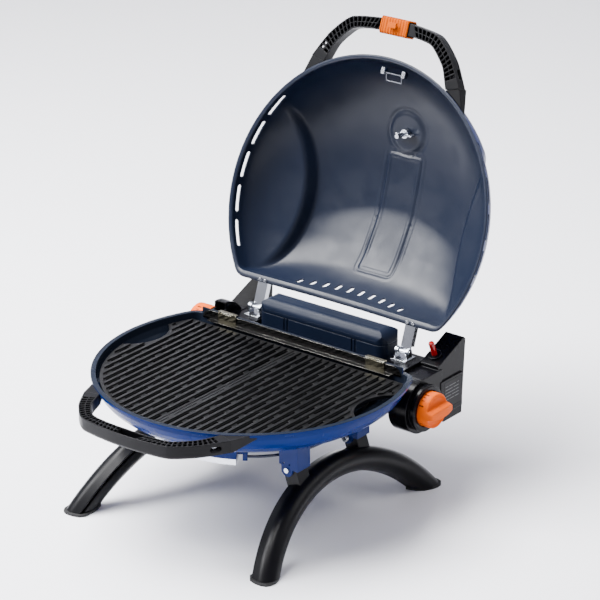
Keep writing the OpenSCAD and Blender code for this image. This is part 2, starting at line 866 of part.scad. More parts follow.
module lid_shell() {
    color("#1c5fb4") in_frame() in_lid() difference() {
        union() {
            translate([0, 0, lid_z]) difference() {
                union() {
                    lid_solid(0);
                    linear_extrude(lid_lip_h) rim_outline(rim_r, lid_chord, corner_r);
                }
                translate([0, 0, -cut]) lid_solid(wall);
                side_slots();
                rear_slots();
            }
            // flat pad under the thermometer
            at_gauge() translate([0, 0, -6]) cylinder(r = gauge_r + 2, h = 3);
        }
        at_gauge() {
            translate([0, 0, -3]) cylinder(r = gauge_r, h = 20);
            translate([0, 0, -10]) cylinder(r = 4.5, h = 20);
        }
        both_sides() for (x = [-rivet_x, rivet_x]) translate([hinge_x + x, rivet_y, lid_z - 1])
            cylinder(r = rivet_r + cut, h = 6);
    }
}

module side_slots() {
    both_sides() for (k = [-2 : 2]) rotate([0, 0, -6.5 + 13.5 * k])
        rotate([0, 0, -5.2]) rotate_extrude(angle = 10.4, $fn = 180)
            translate([wall_r - 14, side_slot_z]) square([24, side_slot_h]);
}

module rear_slots() {
    for (k = [-4.5 : 4.5]) translate([k * 21 - 2.5, lid_wall_chord - 40, 44 - 0.75 * k * k])
        cube([5, 60, 11]);
}

// ---------------------------------------------------------------- handles

// Plan of a carrying handle: a chamfered D in front of the rim.
handle_outer = [[136, -213], [112, -252], [79, -282], [25, -290]];
handle_inner = [[112, -206.5], [99, -238], [72, -265], [35, -271]];
handle_end_x = 124;      // where a screw enters the outer face of a handle end
handle_end_y = -232.5;
handle_end_turn = 58.4;
// each run of pockets: its first and last place and their number
pocket_runs = [[[32, -281], [72, -274.5], 5],
    [[81, -267.5], [103, -243.5], 4],
    [[108, -235], [115, -218], 3]];

function flip_x(points) = [for (i = [len(points) - 1 : -1 : 0]) [-points[i][0], points[i][1]]];
function backwards(points) = [for (i = [len(points) - 1 : -1 : 0]) points[i]];

module handle_plan() {
    difference() {
        polygon(concat(handle_outer, flip_x(handle_outer),
            flip_x(backwards(handle_inner)), backwards(handle_inner)));
        circle(rim_r + 0.5, $fn = 180);
    }
}

// Two rows of pockets along the bar, split by a middle rib.
module handle_pockets() {
    for (s = [-1, 1], run = pocket_runs, k = [0 : run[2] - 1]) {
        step = (run[1] - run[0]) / (run[2] - 1);
        place = run[0] + k * step;
        translate([s * place[0], place[1]]) rotate([0, 0, s * atan2(step[1], step[0])])
            for (y = [-4.3, 4.3]) translate([0, y]) square([6, 5], center = true);
    }
}

// Children stand on the outer face of each handle end, with +Z pointing out of it.
module at_handle_ends() {
    for (s = [-1, 1]) translate([s * handle_end_x, handle_end_y, handle_t / 2])
        rotate([0, 0, s * handle_end_turn]) rotate([90, 0, 0]) children();
}

// Slot through which the screw is reached.
module screw_slot() {
    translate([-5, -4, -10]) cube([10, 8, 12]);
    for (x = [-5, 5]) translate([x, 0, -10]) cylinder(r = 4, h = 12);
}

hook_t = 2.6;
hook_y = -286;
hook_w = 8;

module bowl_handle() {
    color("#222225") in_frame() translate([0, 0, bowl_handle_z]) difference() {
        linear_extrude(handle_t - 0.5) handle_plan();
        translate([0, 0, 8]) linear_extrude(handle_t) handle_pockets();
        // slot and undercut that take the latch hook
        translate([-7, hook_y - 1, handle_t - 10]) cube([23.5, hook_w + 2, 12]);
        translate([-7, hook_y - 1, handle_t - 10.5]) cube([30, hook_w + 2, 6.4]);
        at_handle_ends() screw_slot();
    }
}

// Plan of the wedge that fairs a handle end into the shell.
module socket_plan(s) {
    polygon([[s * 136, -212.8], [s * 145, -187], [s * 154, -160], [s * 140, -160], [s * 112, -206.3]]);
}

// Side view of a wedge: full height at the handle, thin at its tip.
module socket_side() {
    polygon([[-213, 0], [-213, handle_t - 1], [-160, handle_t - 1], [-160, handle_t - 5]]);
}

module socket_wedges() {
    intersection() {
        linear_extrude(handle_t) for (s = [-1, 1]) socket_plan(s);
        rotate([90, 0, 90]) linear_extrude(400, center = true) socket_side();
    }
}

module bowl_handle_sockets() {
    color("#222225") in_frame() difference() {
        translate([0, 0, bowl_handle_z]) socket_wedges();
        bowl_solid(0.2);
        translate([0, 0, rim_z - lip_h - 0.2]) linear_extrude(20) circle(rim_r + 0.5, $fn = 180);
    }
}

module handle_screws() {
    at_handle_ends() translate([0, 0, -9.9]) cylinder(r = 3.6, h = 3);
}

module bowl_handle_screws() {
    color("#b9bbbf") in_frame() translate([0, 0, bowl_handle_z]) handle_screws();
}

latch_seat = 2.4;        // depth of the latch's seat in the lid handle

module lid_handle() {
    color("#222225") in_frame() in_lid() translate([0, 0, lid_handle_z]) difference() {
        linear_extrude(handle_t) handle_plan();
        translate([0, 0, -1]) linear_extrude(handle_t - 7) handle_pockets();
        translate([-latch_w / 2 - 0.4, -300, -1]) cube([latch_w + latch_travel + 0.8, 40, latch_seat + 1]);
        at_handle_ends() screw_slot();
    }
}

module lid_handle_sockets() {
    color("#18181a") in_frame() in_lid() difference() {
        translate([0, 0, lid_handle_z + handle_t]) mirror([0, 0, 1]) socket_wedges();
        translate([0, 0, lid_z]) lid_solid(-0.2);
        translate([0, 0, lid_z - 10]) linear_extrude(lid_lip_h + 10.2) circle(rim_r + 0.5, $fn = 180);
    }
}

module lid_handle_screws() {
    color("#b9bbbf") in_frame() in_lid() translate([0, 0, lid_handle_z]) handle_screws();
}

latch_w = 50;
latch_travel = 12;
latch_gap = 0.4;
latch_wall = 2.8;

module lid_latch() {
    // a saddle that slides along the lid handle's bar, with a hook for the bowl handle
    z0 = lid_handle_z + latch_seat - latch_gap;
    z1 = lid_handle_z + handle_t + latch_gap;
    front = -290.5 - latch_gap;
    back = -270.5 + latch_gap;
    color("#f0701c") in_frame() in_lid() {
        difference() {
            translate([-latch_w / 2, front - latch_wall, z0 - latch_wall])
                cube([latch_w, back - front + 2 * latch_wall, z1 - z0 + 2 * latch_wall]);
            translate([-latch_w, front, z0]) cube([2 * latch_w, back - front, z1 - z0]);
            for (x = [-20 : 5 : 20]) for (y = [front - latch_wall - 0.1, back + latch_wall - 1])
                translate([x - 1, y, z0 - latch_wall - 1]) cube([2, 1.1, z1]);
        }
        translate([-5, hook_y, z0 - latch_wall - 8]) cube([hook_w, hook_w, 8.5]);
        translate([-5, hook_y, z0 - latch_wall - 8]) cube([14, hook_w, hook_t]);
    }
}

// ---------------------------------------------------------------- lid fittings

bail_y = -211;
bail_z = lid_z + 28;

bail_half = 14;
bail_len = 12;
bail_r = 1.2;
bail_stub = 21;

module lid_bail_bracket() {
    color("#c4c6ca") in_frame() in_lid() for (x = [-18.8, 18.8]) difference() {
        translate([x - 3, bail_y - 7, bail_z - 4]) cube([6, 10, 8]);
        translate([0, bail_y, bail_z]) along_x(bail_r + run_fit, -30, 30);
        translate([0, 0, lid_z]) difference() {
            translate([-40, -240, 0]) cube([80, 60, 80]);
            lid_solid(wall);
        }
    }
}

// The loop hangs straight down while the lid is open.
module lid_bail() {
    color("#d8dade") in_frame() in_lid() translate([0, bail_y, bail_z]) rotate([lid_open - 90, 0, 0]) {
        along_x(bail_r, -bail_stub, bail_stub);
        for (x = [-bail_half, bail_half]) {
            translate([x, 0, 0]) along_y(bail_r - 0.1, 0, bail_len);
            sphere_at([x, bail_len, 0]);
        }
        translate([0, bail_len, 0]) along_x(bail_r - 0.1, -bail_half, bail_half);
    }
}

module sphere_at(p) {
    translate(p) sphere(r = 1.2, $fn = 24);
}

module thermometer_case() {
    color("#c9cbd0") in_frame() in_lid() at_gauge() difference() {
        union() {
            translate([0, 0, -2.9]) cylinder(r = 22, h = 11);
            translate([0, 0, -32]) cylinder(r = 3.5, h = 30);
        }
        translate([0, 0, 0]) cylinder(r = 20, h = 20);
    }
}

module thermometer_needle() {
    color("#c2202a") in_frame() in_lid() at_gauge() {
        translate([0, 0, 1.6]) cylinder(r = 2.2, h = 1.6);
        translate([0, 0, 1.9]) linear_extrude(0.8) polygon([[-1.2, -5], [1.2, -5], [0.5, 16], [-0.5, 16]]);
    }
}

module thermometer_lens() {
    color("#dfe8ee", 0.4) in_frame() in_lid() at_gauge() translate([0, 0, 5.6]) cylinder(r = 20, h = 1.6);
}

module thermometer_nut() {
    color("#9fb3b4") in_frame() in_lid() at_gauge() difference() {
        union() {
            translate([0, 0, -13]) cylinder(r = 7, h = 6.8);
            for (s = [-1, 1]) translate([s * 11, 0, -12]) rotate([90, 0, 0])
                cylinder(r = 6, h = 2.4, center = true);
        }
        translate([0, 0, -20]) cylinder(r = 3.55, h = 20);
    }
}

// ---------------------------------------------------------------- legs

// Section of the moulded leg channel: X is the depth, Y runs across the arch.
module channel(half, depth, d0) {
    translate([d0, -half]) square([depth - half, 2 * half]);
    translate([depth - half + d0, 0]) circle(half);
}

module arch(half, depth, d0) {
    mid = (leg_r_out + leg_r_in) / 2;
    translate([0, 0, leg_u]) rotate([0, -90, 0]) rotate([0, 0, -62]) rotate_extrude(angle = 124, $fn = 180)
            translate([mid, 0]) rotate([0, 0, -90]) mirror([0, 1]) channel(half, depth, d0);
}

module leg_frame() {
    translate([foot_x, 0, 0]) rotate([0, -leg_lean, 0]) children();
}

module right_leg() {
    half = (leg_r_out - leg_r_in) / 2;
    difference() {
        leg_frame() {
            difference() {
                arch(half, leg_depth, 0);
                arch(half - leg_wall, leg_depth - leg_wall, -1);
            }
            // diagonal ribs inside the channel
            intersection() {
                arch(half - leg_wall + 0.5, leg_depth - leg_wall + 0.5, 0);
                for (k = [-4 : 4]) translate([3, 0, leg_u]) rotate([-10 * k, 0, 0])
                    translate([0, 0, leg_r_in]) rotate([k < 0 ? 30 : -30, 0, 0])
                        translate([0, -1, -30]) cube([40, 2, 100]);
            }
            // two posts with rounded heads, ending at the pivots
            for (y = [-bracket_y, bracket_y]) translate([pin_d, y - post_w / 2, 0]) {
                translate([-head_r, 0, 80]) cube([24, post_w, pin_u - 80]);
                translate([0, 0, pin_u]) rotate([-90, 0, 0]) cylinder(r = head_r, h = post_w);
            }
        }
        // ground plane and pin bores
        translate([0, -260, -60]) cube([300, 520, 60 + sole_h]);
        for (y = [-bracket_y, bracket_y])
            translate([pivot_x, y, pivot_z]) along_y(pin_r + run_fit, -30, 30);
    }
}

module leg_right() {
    color("#232327") in_frame() right_leg();
}

module leg_left() {
    color("#232327") in_frame() mirror([1, 0, 0]) right_leg();
}

// Outline of one rubber foot, from the arch's centre to the tip.
pad_plan = [[0, -8], [0.4, 9], [2, 21], [6.5, 33], [22, 28.5], [32.5, 20], [38.5, 8.5], [41, -1],
    [40, -10], [36, -16], [29, -19], [17.5, -19], [6, -15.5]];

module foot_pads() {
    half = (leg_r_out - leg_r_in) / 2;
    difference() {
        for (m = [0, 1]) mirror([0, m, 0]) translate([foot_x - 8.7, pad_y, 0]) linear_extrude(pad_h)
            polygon(pad_plan);
        intersection() {
            leg_frame() arch(half, leg_depth, 0);
            translate([0, -260, sole_h]) cube([300, 520, pad_h]);
        }
    }
}

module foot_pads_right() {
    color("#19191b") in_frame() foot_pads();
}

module foot_pads_left() {
    color("#19191b") in_frame() mirror([1, 0, 0]) foot_pads();
}

plate_x = 149.5;         // outer face of a leg bracket
brk_w = post_w + 4.8;
brk_t = 2;
brk_in = 116;

module bracket_flange() {
    difference() {
        union() {
            translate([brk_in, 117]) square([plate_x - brk_in, 45]);
            translate([pivot_x, pivot_z]) circle(10);
            translate([pivot_x - 10, pivot_z]) square([20, 12]);
        }
        translate([brk_in - 1, 100]) square([pivot_x - 10 - brk_in + 1, 22]);
    }
}

module leg_brackets() {
    color("#1c5fb4") in_frame() both_sides() for (m = [0, 1]) mirror([0, m, 0]) difference() {
        translate([0, bracket_y, 0]) union() {
            for (y = [-brk_w / 2, brk_w / 2 - brk_t]) translate([0, y + brk_t, 0]) rotate([90, 0, 0])
                linear_extrude(brk_t) bracket_flange();
            translate([plate_x - brk_t, -brk_w / 2, 117]) cube([brk_t, brk_w, 45]);
        }
        bowl_solid(0);
        // open slot for the brace wire
        translate([brk_in - 1, bracket_y - brk_w / 2 - 1, ring_z - ring_wire_r - 0.4])
            cube([7.6, brk_t + 2, 2 * ring_wire_r + 0.8]);
        translate([pivot_x, bracket_y, pivot_z]) along_y(pin_r, -30, 30);
        for (x = [-6, 5]) translate([pivot_x + x, bracket_y, pivot_z + 10])
            along_y(1.4, -30, 30);
    }
}

module leg_pins() {
    color("#d9dbdf") in_frame() both_sides() for (y = [-bracket_y, bracket_y])
        translate([pivot_x, y, pivot_z]) {
            along_y(pin_r, -brk_w / 2 - 0.6, brk_w / 2 + 0.6);
            along_y(4, -brk_w / 2 - 2, -brk_w / 2);
            along_y(4, brk_w / 2, brk_w / 2 + 2);
        }
}

module leg_springs() {
    // a coil on each pin with one tail along the bracket
    color("#8f9196") in_frame() both_sides() for (m = [0, 1]) mirror([0, m, 0])
        translate([pivot_x, bracket_y - brk_w / 2 - 2, pivot_z]) {
            for (k = [0 : 2]) translate([0, -1.1 - 1.6 * k, 0]) rotate([90, 0, 0])
                rotate_extrude() translate([4.8, 0]) circle(0.9);
            translate([-5.4, -2.7, 0]) cylinder(r = 0.7, h = 11);
        }
}

ring_r = 132;
ring_z = 130;

ring_wire_r = 2.2;
ring_gap = 34;           // half the angle that the wire leaves open at the front

module brace_wire(r) {
    translate([0, 0, ring_z]) rotate([0, 0, ring_gap - 90])
        rotate_extrude(angle = 360 - 2 * ring_gap, $fn = 180) translate([ring_r, 0]) circle(r, $fn = 24);
}

module leg_brace_ring() {
    color("#1d2a44") in_frame() brace_wire(ring_wire_r);
}

module bracket_rivets() {
    color("#c8cace") in_frame() both_sides() for (y = [-bracket_y, bracket_y]) difference() {
        translate([125, y, rim_z - super_height(143, wall_r, bowl_depth) - 3]) cylinder(r = 3, h = 3);
        bowl_solid(0.05);
    }
}

// ---------------------------------------------------------------- drip tray

tray_r = 152;
tray_angle = 30;
tray_z0 = 125;
tray_z1 = 134;

// A sector of a ring band between two radii, centred on -Y.
module tray_plan(r, inset) {
    intersection() {
        circle(r - inset, $fn = 180);
        polygon([[0, -60 - inset * 2], [34 - inset, -64 - inset],
            [r * sin(tray_angle) - inset, -r * cos(tray_angle)],
            [r * sin(tray_angle) - inset, -r - 5], [-r * sin(tray_angle) + inset, -r - 5],
            [-r * sin(tray_angle) + inset, -r * cos(tray_angle)], [-34 + inset, -64 - inset]]);
    }
}

// Lugs beside the holder take the two ends of the brace wire.
module holder_lug(turn, span, half, z0, h) {
    rotate([0, 0, turn - 90]) rotate_extrude(angle = span, $fn = 180)
        translate([ring_r - half, z0]) square([2 * half, h]);
}

module tray_holder() {
    color("#1c5fb4") in_frame() difference() {
        union() {
            translate([0, 0, tray_z1 + 0.4]) linear_extrude(24) difference() {
                tray_plan(tray_r, 0);
                tray_plan(tray_r, 2);
            }
            both_sides() {
                holder_lug(29, 7, 4.4, tray_z1 + 1.4, 5);
                holder_lug(32.8, 2.9, 3.8, ring_z - 5, 12);
            }
        }
        bowl_solid(0);
        // bores that take the wire's ends
        both_sides() rotate([0, 0, ring_gap + 0.4 - 90]) translate([ring_r, 0, ring_z])
            along_y(ring_wire_r + 0.1, -8, 8);
    }
}

module drip_tray() {
    color("#d7d8da") in_frame() difference() {
        translate([0, 0, tray_z0]) linear_extrude(tray_z1 - tray_z0) tray_plan(tray_r, 0.4);
        translate([0, 0, tray_z0 + 1.5]) linear_extrude(20) tray_plan(tray_r, 2.2);
    }
}

bowl();
grate_left();
grate_right();
guard_strip();
guard_clips();
burner_left();
burner_right();
burner_rests();
valve_left();
valve_right();
valve_stem_left();
valve_stem_right();
manifold_pipe();
gas_inlet();
knob_left();
knob_right();
housing_left();
housing_right();
rear_crossbar();
rear_cover_base();
rear_cover_top();
control_label();
igniter_button();
igniter_collar();
igniter_body();
igniter_spring();
igniter_lead();
spark_electrode();
hinge_brackets();
hinge_pins();
hinge_arms();
hinge_rivets();
lid_shell();
lid_handle();
lid_handle_sockets();
lid_handle_screws();
lid_latch();
lid_bail();
lid_bail_bracket();
thermometer_case();
thermometer_needle();
thermometer_lens();
thermometer_nut();
bowl_handle();
bowl_handle_sockets();
bowl_handle_screws();
leg_left();
leg_right();
foot_pads_left();
foot_pads_right();
leg_brackets();
leg_pins();
leg_springs();
leg_brace_ring();
bracket_rivets();
tray_holder();
drip_tray();
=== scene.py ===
"""Looks of a folding camp grill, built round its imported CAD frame. Lengths are metres."""

import json
import math

import bmesh
import bpy
from mathutils import Matrix, Vector


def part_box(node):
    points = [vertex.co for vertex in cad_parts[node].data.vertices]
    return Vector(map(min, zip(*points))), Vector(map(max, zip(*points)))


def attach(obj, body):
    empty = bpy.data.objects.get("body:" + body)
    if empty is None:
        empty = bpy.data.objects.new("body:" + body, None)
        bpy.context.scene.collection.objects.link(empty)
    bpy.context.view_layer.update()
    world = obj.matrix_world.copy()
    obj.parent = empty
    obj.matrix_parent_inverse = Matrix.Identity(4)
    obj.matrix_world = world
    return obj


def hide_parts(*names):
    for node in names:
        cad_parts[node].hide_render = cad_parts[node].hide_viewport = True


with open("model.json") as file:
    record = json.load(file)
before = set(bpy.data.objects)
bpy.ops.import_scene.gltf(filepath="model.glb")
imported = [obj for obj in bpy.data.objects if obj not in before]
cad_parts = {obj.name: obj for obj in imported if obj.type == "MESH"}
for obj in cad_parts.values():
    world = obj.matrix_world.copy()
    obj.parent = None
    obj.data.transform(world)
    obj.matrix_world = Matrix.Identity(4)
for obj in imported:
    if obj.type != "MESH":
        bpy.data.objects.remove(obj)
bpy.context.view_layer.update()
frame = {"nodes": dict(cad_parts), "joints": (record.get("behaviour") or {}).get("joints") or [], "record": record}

MM = 0.001
DATUM = 50 * MM                      # the bowl's centre is this far in front of the origin
LID_JOINT = next(joint for joint in frame["joints"] if joint["name"] == "lid_hinge")
HINGE = Vector(LID_JOINT["pos_m"])
LID_OPEN = math.radians(LID_JOINT["range_deg"][1])
UP = Vector((0, 0, 1))


# ---------------------------------------------------------------- node materials

def new_material(name):
    """A node material, with its tree and its shader."""
    material = bpy.data.materials.new(name)
    material.use_nodes = True
    tree = material.node_tree
    shader = tree.nodes["Principled BSDF"]
    return material, tree, shader


def plug(tree, socket, value):
    """Links a node's output to a socket, or sets the socket to a plain value."""
    if isinstance(value, bpy.types.NodeSocket):
        tree.links.new(value, socket)
    else:
        socket.default_value = value


def add(tree, kind, **inputs):
    """A node of that kind, with its input sockets set or linked by name."""
    node = tree.nodes.new(kind)
    for name, value in inputs.items():
        plug(tree, node.inputs[name.replace("_", " ")], value)
    return node


def operate(tree, kind, operation, values):
    """A maths node with its inputs plugged in order."""
    node = tree.nodes.new(kind)
    node.operation = operation
    for socket, value in zip(node.inputs, values):
        plug(tree, socket, value)
    return node


def maths(tree, operation, *values):
    return operate(tree, "ShaderNodeMath", operation, values).outputs[0]


def product(tree, first, *others):
    for other in others:
        first = maths(tree, "MULTIPLY", first, other)
    return first


def vector_maths(tree, operation, *values):
    return operate(tree, "ShaderNodeVectorMath", operation, values)


def mix_colour(tree, factor, a, b, blend_type="MIX"):
    node = tree.nodes.new("ShaderNodeMix")
    node.data_type = "RGBA"
    node.blend_type = blend_type
    plug(tree, node.inputs["Factor"], factor)
    plug(tree, node.inputs[6], a)      # sockets 6, 7 and 2 are the colour ones
    plug(tree, node.inputs[7], b)
    return node.outputs[2]


def ramp(tree, value, low, high, out_low=0.0, out_high=1.0):
    """The value mapped smoothly from low..high to out_low..out_high, and held beyond."""
    node = tree.nodes.new("ShaderNodeMapRange")
    node.interpolation_type = "SMOOTHSTEP"
    for name, number in (("From Min", low), ("From Max", high),
                         ("To Min", out_low), ("To Max", out_high)):
        node.inputs[name].default_value = number
    plug(tree, node.inputs["Value"], value)
    return node.outputs[0]


def object_place(tree):
    """The point on the piece, in the frame's own metres."""
    return add(tree, "ShaderNodeTexCoord").outputs["Object"]


def noise(tree, where, scale, detail=3.0, roughness=0.55):
    return add(tree, "ShaderNodeTexNoise", Vector=where, Scale=scale,
               Detail=detail, Roughness=roughness).outputs["Fac"]


def rgba(colour):
    return (*colour, 1.0)


def scaled(colour, amount):
    return tuple(min(1.0, c * amount) for c in colour)


def finish(name, colour, roughness, grain=900, relief=0.00004, waves=0.0, variety=0.12,
           wear=None, wear_amount=0.5, edge=0.0007, stretch=(1, 1, 1), **shader_values):
    """A surface with uneven colour and gloss, a fine grain, rounded edges and wear on them.

    grain is how many specks there are to a metre, relief and waves are bump heights, edge is
    the radius of the rounding, and shader_values go straight to the shader's own sockets.
    """
    material, tree, shader = new_material(name)
    place = object_place(tree)
    grained = vector_maths(tree, "MULTIPLY", place, stretch).outputs[0]

    # colour drifts slowly over the surface, with small flecks on top
    drift = ramp(tree, noise(tree, place, 9.0), 0.3, 0.7)
    flecks = ramp(tree, noise(tree, grained, grain * 0.4, 4.0), 0.35, 0.75)
    base = mix_colour(tree, drift, rgba(scaled(colour, 1 - variety)),
                      rgba(scaled(colour, 1 + variety)))
    base = mix_colour(tree, maths(tree, "MULTIPLY", flecks, variety * 0.9), base,
                      rgba(scaled(colour, 0.45)))

    # worn edges: where the rounded normal leaves the true one, broken up by noise
    rounded = add(tree, "ShaderNodeBevel", Radius=edge)
    rounded.samples = 4
    true_normal = add(tree, "ShaderNodeNewGeometry").outputs["Normal"]
    turn = vector_maths(tree, "DOT_PRODUCT", rounded.outputs[0], true_normal).outputs["Value"]
    rim = ramp(tree, maths(tree, "SUBTRACT", 1.0, turn), 0.02, 0.25)
    patches = ramp(tree, noise(tree, place, 60.0, 5.0), 0.42, 0.62)
    worn = product(tree, rim, patches, wear_amount)
    base = mix_colour(tree, worn, base, rgba(wear or scaled(colour, 2.0)))
    tree.links.new(base, shader.inputs["Base Color"])

    # smudges and wear change the gloss
    smudge = ramp(tree, noise(tree, place, 24.0, 5.0), 0.3, 0.7, -1.0, 1.0)
    gloss = maths(tree, "ADD", maths(tree, "MULTIPLY", smudge, 0.16 * roughness), roughness)
    gloss = maths(tree, "ADD", gloss, maths(tree, "MULTIPLY", worn, 0.12))
    tree.links.new(gloss, shader.inputs["Roughness"])

    # fine grain and, for rolled or pressed sheet, long shallow waves
    fine = add(tree, "ShaderNodeBump", Strength=0.55, Distance=relief,
               Height=noise(tree, grained, grain, 4.0), Normal=rounded.outputs[0])
    normal = fine.outputs[0]
    if waves:
        normal = add(tree, "ShaderNodeBump", Strength=0.5, Distance=waves,
                     Height=noise(tree, place, 12.0, 1.0), Normal=normal).outputs[0]
    tree.links.new(normal, shader.inputs["Normal"])
    for socket, value in shader_values.items():
        shader.inputs[socket.replace("_", " ")].default_value = value
    return material


def paint_over(tree, mask, colour):
    """Lays a printed colour over whatever the shader's base colour is."""
    base = tree.nodes["Principled BSDF"].inputs["Base Color"]
    under = base.links[0].from_socket
    tree.links.new(mix_colour(tree, mask, under, rgba(colour)), base)


def two_tone(material, inside, outside, centre):
    """Tints a shell: one colour on the side that faces the centre, another on the side away."""
    tree = material.node_tree
    base = tree.nodes["Principled BSDF"].inputs["Base Color"]
    under = base.links[0].from_socket
    place = add(tree, "ShaderNodeTexCoord")
    outward = vector_maths(tree, "SUBTRACT", place.outputs["Object"], centre).outputs[0]
    facing = vector_maths(tree, "DOT_PRODUCT", outward, place.outputs["Normal"]).outputs["Value"]
    tone = mix_colour(tree, ramp(tree, facing, -0.004, 0.004), rgba(inside), rgba(outside))
    tree.links.new(mix_colour(tree, 1.0, tone, under, "MULTIPLY"), base)
    return material


def beside_bowl(point):
    """From a place drawn about the bowl's centre to the frame."""
    return Vector(point) + Vector((0, -DATUM, 0))


def in_open_lid(point):
    """From the closed lid's place, drawn about the bowl's centre, to the open lid."""
    return HINGE + Matrix.Rotation(-LID_OPEN, 3, "X") @ (beside_bowl(point) - HINGE)


BLUE = (0.0002, 0.0110, 0.090)
SLATE = (0.0046, 0.0078, 0.0190)
INNER_SLATE = (0.008, 0.011, 0.019)
WHITE = (1.0, 1.0, 1.0)              # a blank that two_tone tints
ABOVE_BOWL = (0.0, -DATUM, 0.5)
BELOW_LID = tuple(in_open_lid((0, 0, -0.1)))

PALETTE = {
    "bowl": two_tone(
        finish("bowl_enamel", WHITE, 0.24, grain=1400, relief=0.00002, waves=0.00015,
               variety=0.06, wear=WHITE, wear_amount=0.02, edge=0.0015, Specular_IOR_Level=0.07),
        INNER_SLATE, BLUE, ABOVE_BOWL),
    "lid": two_tone(
        finish("lid_enamel", WHITE, 0.36, grain=1400, relief=0.00003, waves=0.0003,
               variety=0.06, wear=WHITE, wear_amount=0.02, edge=0.001, Specular_IOR_Level=0.28),
        SLATE, BLUE, BELOW_LID),
    "blue_enamel": finish(
        "blue_enamel", BLUE, 0.3, grain=1400, relief=0.00002, waves=0.0002, variety=0.08,
        wear=(0.01, 0.05, 0.2), wear_amount=0.3, Specular_IOR_Level=0.1),
    "cast_grate": finish(
        "cast_grate", (0.0022, 0.0022, 0.0026), 0.34, grain=700, relief=0.00016, variety=0.25,
        wear=(0.03, 0.03, 0.032), wear_amount=0.6, edge=0.0009, Specular_IOR_Level=0.25),
    "polished_steel": finish(
        "polished_steel", (0.045, 0.044, 0.043), 0.2, grain=500, relief=0.00001, waves=0.0012,
        variety=0.1, wear=(0.40, 0.39, 0.36), edge=0.0004, stretch=(0.05, 1, 1), Metallic=1.0),
    "clip_steel": finish(
        "clip_steel", (0.26, 0.24, 0.17), 0.2, grain=500, relief=0.00001, waves=0.0006,
        variety=0.1, wear=(0.8, 0.78, 0.7), edge=0.0004, stretch=(0.05, 1, 1), Metallic=1.0),
    "burner_steel": finish(
        "burner_steel", (0.45, 0.44, 0.43), 0.35, grain=800, relief=0.00003, variety=0.2,
        wear=(0.5, 0.4, 0.3), stretch=(1, 0.1, 1), Metallic=1.0),
    "valve_brass": finish(
        "valve_brass", (0.66, 0.48, 0.2), 0.3, grain=900, relief=0.00003, variety=0.15,
        wear=(0.85, 0.7, 0.4), Metallic=1.0),
    "bright_steel": finish(
        "bright_steel", (0.50, 0.52, 0.56), 0.22, grain=900, relief=0.00001, waves=0.0003,
        variety=0.08, wear=(0.9, 0.9, 0.92), edge=0.0006, Metallic=1.0),
    "spring_steel": finish(
        "spring_steel", (0.42, 0.43, 0.45), 0.3, grain=900, relief=0.00001, variety=0.1,
        Metallic=1.0),
    "dull_wire": finish(
        "dull_wire", (0.10, 0.105, 0.12), 0.3, grain=900, relief=0.00001, variety=0.1,
        wear=(0.3, 0.3, 0.32), Metallic=1.0),
    "brace_wire": finish(
        "brace_wire", (0.006, 0.010, 0.028), 0.32, grain=900, relief=0.00003, variety=0.15,
        wear=(0.3, 0.3, 0.32), Coat_Weight=0.3),
    "orange_plastic": finish(
        "orange_plastic", (0.36, 0.060, 0.0), 0.42, grain=1100, relief=0.00005, variety=0.06,
        wear=(0.45, 0.10, 0.0), wear_amount=0.3, edge=0.0012, Specular_IOR_Level=0.03),
    "black_plastic": finish(
        "black_plastic", (0.0020, 0.0020, 0.0028), 0.38, grain=1000, relief=0.00009, variety=0.2,
        wear=(0.012, 0.012, 0.014), wear_amount=0.4, edge=0.0016, Specular_IOR_Level=0.12),
    "gloss_black": finish(
        "gloss_black", (0.0016, 0.0016, 0.0024), 0.24, grain=1200, relief=0.00003, waves=0.0003,
        variety=0.2, wear=(0.06, 0.06, 0.07), wear_amount=0.3, edge=0.002,
        Specular_IOR_Level=0.10),
    "leg_plastic": finish(
        "leg_plastic", (0.0020, 0.0020, 0.0030), 0.34, grain=900, relief=0.00008, waves=0.0003,
        variety=0.2, wear=(0.012, 0.012, 0.015), wear_amount=0.4, edge=0.002,
        Specular_IOR_Level=0.14),
    "slate_plastic": finish(
        "slate_plastic", (0.0046, 0.0074, 0.0170), 0.34, grain=1200, relief=0.00005,
        waves=0.0003, variety=0.1, wear=(0.09, 0.11, 0.15), wear_amount=0.3, edge=0.0025,
        Specular_IOR_Level=0.09),
    "label_foil": finish(
        "label_foil", (0.0035, 0.0035, 0.0045), 0.33, grain=1500, relief=0.00002, variety=0.1,
        edge=0.0004, Specular_IOR_Level=0.12),
    "red_plastic": finish(
        "red_plastic", (0.22, 0.0012, 0.002), 0.16, grain=900, relief=0.00002, variety=0.08,
        wear=(0.4, 0.02, 0.02), edge=0.001, Specular_IOR_Level=0.4),
    "ceramic": finish(
        "ceramic", (0.80, 0.77, 0.70), 0.2, grain=900, relief=0.00002, variety=0.05,
        wear=(0.9, 0.88, 0.82)),
    "lead_rubber": finish("lead_rubber", (0.02, 0.02, 0.02), 0.55, grain=1200, relief=0.00005),
    "clear_lens": finish(
        "clear_lens", (0.95, 0.97, 1.0), 0.06, grain=900, relief=0.000005, variety=0.02,
        edge=0.0004, Transmission_Weight=0.95, IOR=1.46),
    "foot_rubber": finish(
        "foot_rubber", (0.0025, 0.0025, 0.003), 0.7, grain=700, relief=0.00012, variety=0.2,
        wear=(0.05, 0.05, 0.05), edge=0.0012),
    "tray_aluminium": finish(
        "tray_aluminium", (0.62, 0.64, 0.70), 0.3, grain=600, relief=0.00003, waves=0.0004,
        variety=0.08, wear=(0.9, 0.9, 0.92), edge=0.001, Metallic=1.0),
}

# nodes whose finish isn't the one named after their material slot
SPECIAL = {
    "bowl": "bowl", "lid_shell": "lid", "lid_bail": "dull_wire", "guard_clips": "clip_steel",
    "housing_left": "gloss_black", "housing_right": "gloss_black", "rear_crossbar": "gloss_black",
    "igniter_collar": "gloss_black", "leg_left": "leg_plastic", "leg_right": "leg_plastic",
}


